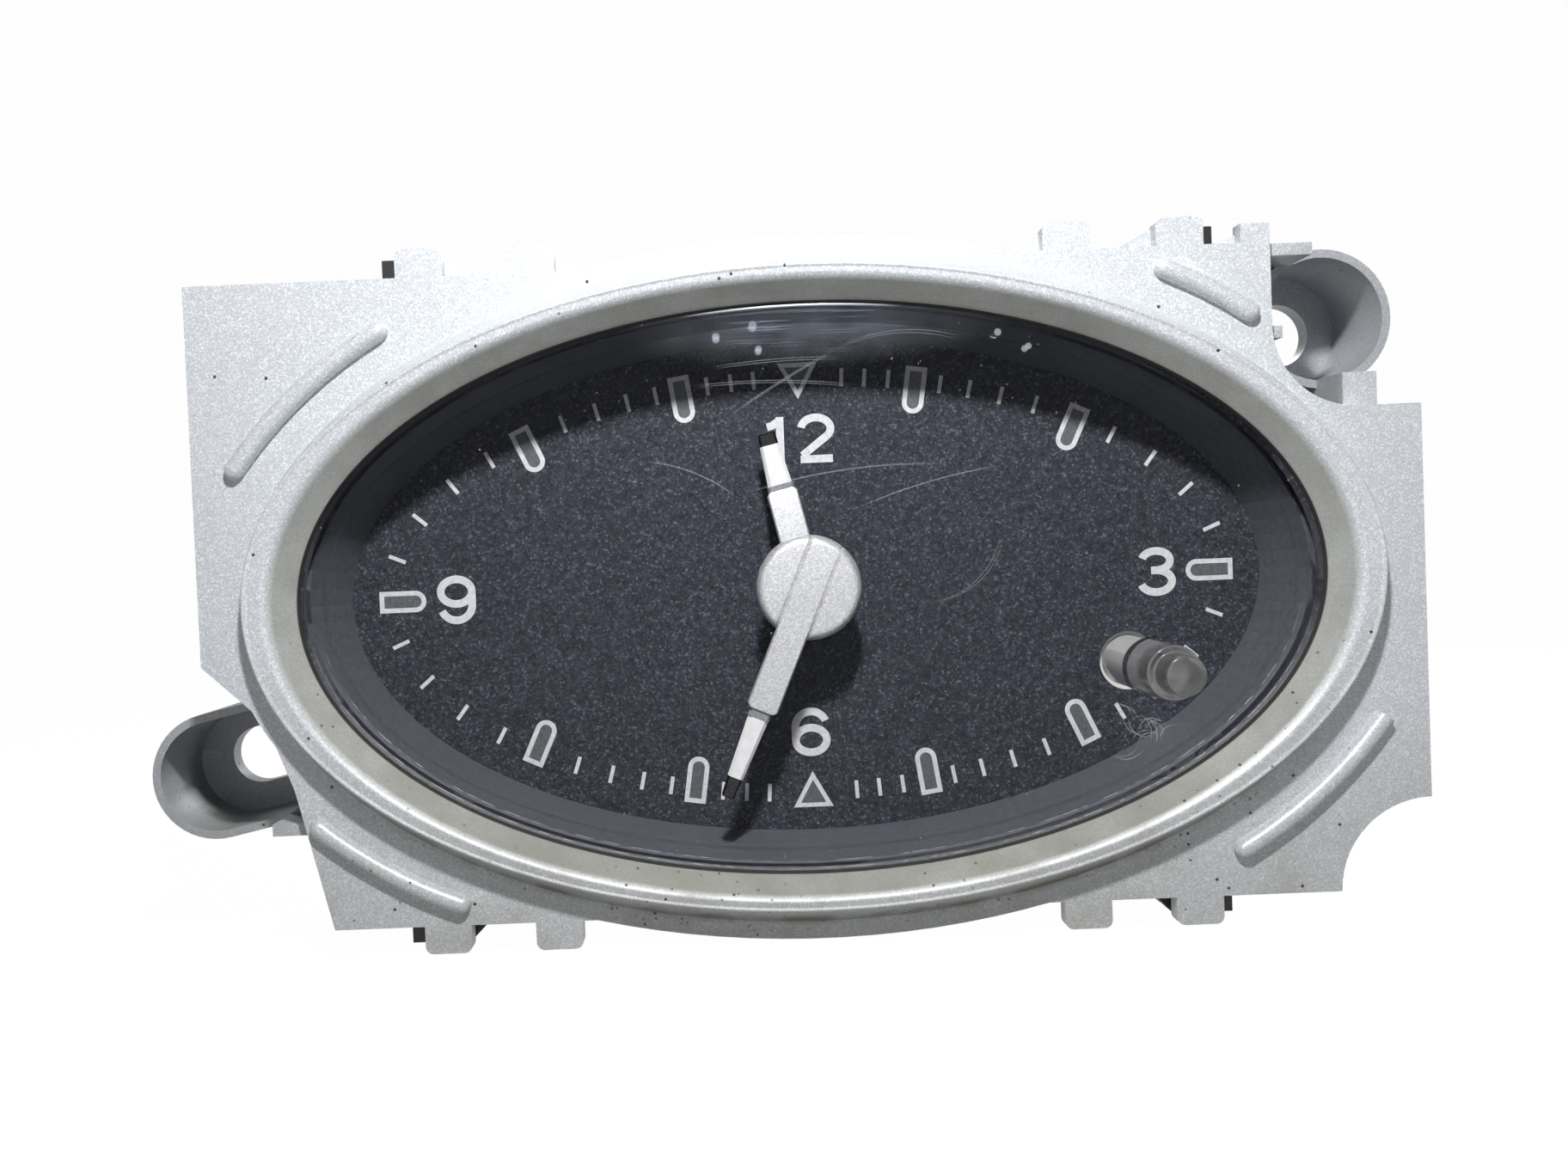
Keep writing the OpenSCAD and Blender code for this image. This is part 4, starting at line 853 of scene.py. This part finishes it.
def barMesh(name, stations, front, back, angle):
    # A six-sided section carried outward along the hand.
    # Stations give distance, full width, how much narrower the front is, and depths of front and shoulder.
    turn = math.radians(angle)
    out = np.array([math.sin(turn), 0, math.cos(turn)])
    across = np.array([math.cos(turn), 0, -math.sin(turn)])
    inward = np.array([0, 1, 0])
    distance, width, flat, drop, shoulder = np.array(stations, float).T
    half = width / 2
    slim = (width - flat) / 2
    side = np.stack([-half, -half, -slim, slim, half, half], -1)
    rear = np.full(len(stations), back)
    depth = np.stack([rear, front + shoulder, front + drop, front + drop, front + shoulder, rear], -1)
    sections = distance[:, None, None] * out + side[..., None] * across + depth[..., None] * inward
    return loft(name, sections)


def makeHand(name, look, body):
    form = handForm
    width, barEnd = look["bar"]
    bar = [
        (0, width, form["barFlat"], 0, form["barShoulder"]),
        (barEnd - form["barRun"], width, form["barFlat"], 0, form["barShoulder"]),
        (barEnd, width - form["barEndIn"], form["barEndFlat"], form["barEndDrop"], form["barEndShoulder"]),
    ]
    width, neckEnd = look["neck"]
    neckAt = (barEnd - form["neckOverlap"], neckEnd)
    neck = [(at, width, form["neckFlat"], 0, form["neckShoulder"]) for at in neckAt]
    wide, slim, pointerEnd = look["pointer"]
    pointerAt = zip((neckEnd, pointerEnd), (wide, slim), form["pointerFlat"])
    pointer = [(*station, form["pointerDrop"], form["pointerShoulder"]) for station in pointerAt]
    wide, slim, tipEnd = look["tip"]
    tip = [
        (pointerEnd, wide, form["tipFlat"][0], form["tipDrop"][0], form["tipShoulder"][0]),
        (tipEnd - form["tipRun"], slim, form["tipFlat"][1], form["tipDrop"][0], form["tipShoulder"][0]),
        (tipEnd, slim - form["tipIn"], form["tipFlat"][2], form["tipDrop"][1], form["tipShoulder"][1]),
    ]
    pieces = []
    for part, stations, front, finish in [
        ("Bar", bar, look["front"], "hand_silver"),
        ("Neck", neck, look["insetFront"], "hand_clear"),
        ("Pointer", pointer, look["insetFront"], "hand_white"),
        ("Tip", tip, look["insetFront"], "hand_black"),
    ]:
        data = barMesh(name + part, stations, front, look["back"], look["angle"])
        pieces.append(addPiece(name + part, data, body, finish, form["sharp"]))
    return pieces


# Domed cap with a rolled edge and two grooves beside the minute hand's bar
capLook = {
    "radius": 5.4, "crown": 2.3, "rim": 2.6, "roll": 0.9, "back": 3.8, "sharp": 38,
    "groove": 1.66, "grooveHalf": 0.2, "grooveDepth": 0.3,
    "chords": 61, "steps": 61, "turns": 120, "seam": 0.02, "hub": 0.05,
}


def capMesh(look, angle):
    # Chords across the cap run along the hand; depth is a shallow dome, a quarter-round edge and V grooves.
    r = look["radius"]
    fine = look["groove"] + look["grooveHalf"] * np.array([-1, -0.5, 0, 0.5, 1])
    u = np.unique(np.concatenate([np.linspace(-r, r, look["chords"]), fine, -fine]))
    v = np.sin(np.linspace(-np.pi / 2, np.pi / 2, look["steps"]))
    across, along = np.meshgrid(u, v, indexing="ij")
    along = along * np.sqrt(np.maximum(r * r - across ** 2, 0))
    away = np.hypot(across, along)
    edge = np.clip((away - (r - look["roll"])) / look["roll"], 0, 1)
    depth = look["crown"] + (look["rim"] - look["crown"]) * (away / r) ** 2
    depth += look["roll"] * (1 - np.sqrt(1 - edge ** 2))
    near = np.abs(np.abs(across) - look["groove"]) / look["grooveHalf"]
    depth += look["grooveDepth"] * np.clip(1 - near, 0, 1)
    turn = math.radians(angle)
    x = along * math.sin(turn) + across * math.cos(turn)
    z = along * math.cos(turn) - across * math.sin(turn)
    front = np.stack([x, depth, z], -1)
    rim = look["rim"] + look["roll"] - look["seam"]
    rows = [(r, r, rim), (r, r, look["back"]), (look["hub"], look["hub"], look["back"])]
    skirt = ovalRings(rows, look["turns"])
    return joined("minuteCap", [
        meshOf("capFront", front, gridFaces(len(u), len(v)).tolist(), closed=False),
        meshOf("capSkirt", skirt, gridFaces(len(rows), look["turns"], False, True).tolist(), closed=False),
    ])


cap = addPiece("minuteCap", capMesh(capLook, minuteLook["angle"]), "minute", "hand_silver", capLook["sharp"])
for piece in makeHand("minute", minuteLook, "minute"):
    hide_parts("minute_hand")
for piece in makeHand("hour", hourLook, "hour"):
    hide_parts("hour_hand")
print("hands made")


# Camera: the photograph's view, worked out from measured points of the clock
cameraLook = {
    "at": (-8.5, -138.53, 4.27), "turn": (1.497, 0.362, -2.322), "lens": 31.86, "sensor": 36.0,
    "shift": (0.0427, -0.0015), "nearest": 5,
}


def makeCamera(look):
    # The view starts along +Y with +Z up, then pitches, turns and rolls by the three angles.
    pitch, yaw, roll = (math.radians(a) for a in look["turn"])
    level = Matrix(((1, 0, 0), (0, 0, -1), (0, 1, 0)))
    turns = Matrix.Rotation(yaw, 3, "Y") @ Matrix.Rotation(pitch, 3, "X") @ level
    turns = Matrix.Rotation(roll, 3, "Z") @ turns
    axes = Matrix((turns[0], -turns[1], -turns[2])).transposed()
    data = bpy.data.cameras.new("camera")
    data.sensor_width = look["sensor"]
    data.lens = look["lens"]
    data.shift_x, data.shift_y = look["shift"]
    data.clip_start = look["nearest"] * mm
    camera = bpy.data.objects.new("camera", data)
    camera.matrix_world = Matrix.Translation(Vector(look["at"]) * mm) @ axes.to_4x4()
    bpy.context.scene.collection.objects.link(camera)
    bpy.context.scene.camera = camera


makeCamera(cameraLook)


# Light: a small soft panel high in front, a larger one behind, and a room brighter in front than around
lightLook = {
    "key": {"at": (-4, -104, 112), "size": (13, 12), "power": 0.305},
    "rear": {"at": (110, 260, 170), "size": (120, 120), "power": 0.6},
    "front": 0.07, "around": 0.045, "frontEdge": (-0.35, -0.95),
}


def makePanel(name, look):
    data = bpy.data.lights.new(name, "AREA")
    data.shape = "RECTANGLE"
    data.size, data.size_y = (s * mm for s in look["size"])
    data.energy = look["power"]
    panel = bpy.data.objects.new(name, data)
    panel.location = Vector(look["at"]) * mm
    panel.rotation_euler = (-panel.location).to_track_quat("-Z", "Y").to_euler()
    bpy.context.scene.collection.objects.link(panel)


def makeRoom(look):
    # Strength runs from the value around the clock to the value in front of it, by the direction's Y.
    world = bpy.data.worlds.new("room")
    bpy.context.scene.world = world
    world.use_nodes = True
    tree = world.node_tree
    soft = tree.nodes["Background"]
    soft.inputs["Color"].default_value = (1, 1, 1, 1)
    ahead = add(tree, "SeparateXYZ", {0: add(tree, "TexCoord").outputs["Generated"]}).outputs["Y"]
    level = spread(tree, ahead, *look["frontEdge"], (look["around"], look["front"]))
    tree.links.new(level, soft.inputs["Strength"])


for name in ("key", "rear"):
    makePanel(name, lightLook[name])
makeRoom(lightLook)


# Floor and backdrop: grey sheets that show white, with the clock's shadow left on the floor
stageLook = {
    "grey": (146, 146, 146), "rough": 0.9, "white": 1.12, "share": 0.88, "gap": 0.3,
    "reach": 4000, "wall": 2600, "lowWall": 1300, "lowFrom": -0.01, "wallPoints": 97,
}


def whiteSheet(look):
    made, tree, shader = startMaterial("white_sheet", Roughness=look["rough"])[:3]
    shader.inputs["Base Color"].default_value = tone(*look["grey"])
    white = add(tree, "Emission", {"Color": (1, 1, 1, 1), "Strength": look["white"]})
    path = add(tree, "LightPath").outputs
    seen = most(tree, [path["Is Camera Ray"], path["Is Glossy Ray"], path["Is Transmission Ray"]])
    share = times(tree, seen, look["share"])
    mixed = add(tree, "MixShader", {0: share, 1: shader.outputs[0], 2: white.outputs[0]})
    tree.links.new(mixed.outputs[0], tree.nodes["Material Output"].inputs["Surface"])
    return made


def makeStage(look):
    # A flat square under the clock, and a round wall: high behind the clock and lower in front of it.
    low = startBounds[0].z / mm - look["gap"]
    reach, wall = look["reach"], look["wall"]
    ground = [(-reach, -reach, low), (reach, -reach, low), (reach, reach, low), (-reach, reach, low)]
    t = np.linspace(0, 2 * np.pi, look["wallPoints"])
    ring = np.stack([wall * np.cos(t), wall * np.sin(t)], -1)
    top = np.where(np.sin(t) > look["lowFrom"], wall, look["lowWall"])
    rows = np.stack([np.column_stack([ring, low + rise]) for rise in (0 * t, top)])
    sheet = whiteSheet(look)
    for name, points, faces in [
        ("floor", ground, [[0, 1, 2, 3]]), ("backdrop", rows, gridFaces(2, len(t)).tolist()),
    ]:
        data = meshOf(name, points, faces, closed=False)
        data.materials.append(sheet)
        piece = bpy.data.objects.new(name, data)
        bpy.context.scene.collection.objects.link(piece)


makeStage(stageLook)
bpy.context.scene.view_settings.view_transform = "Standard"
print("camera, light and floor set")
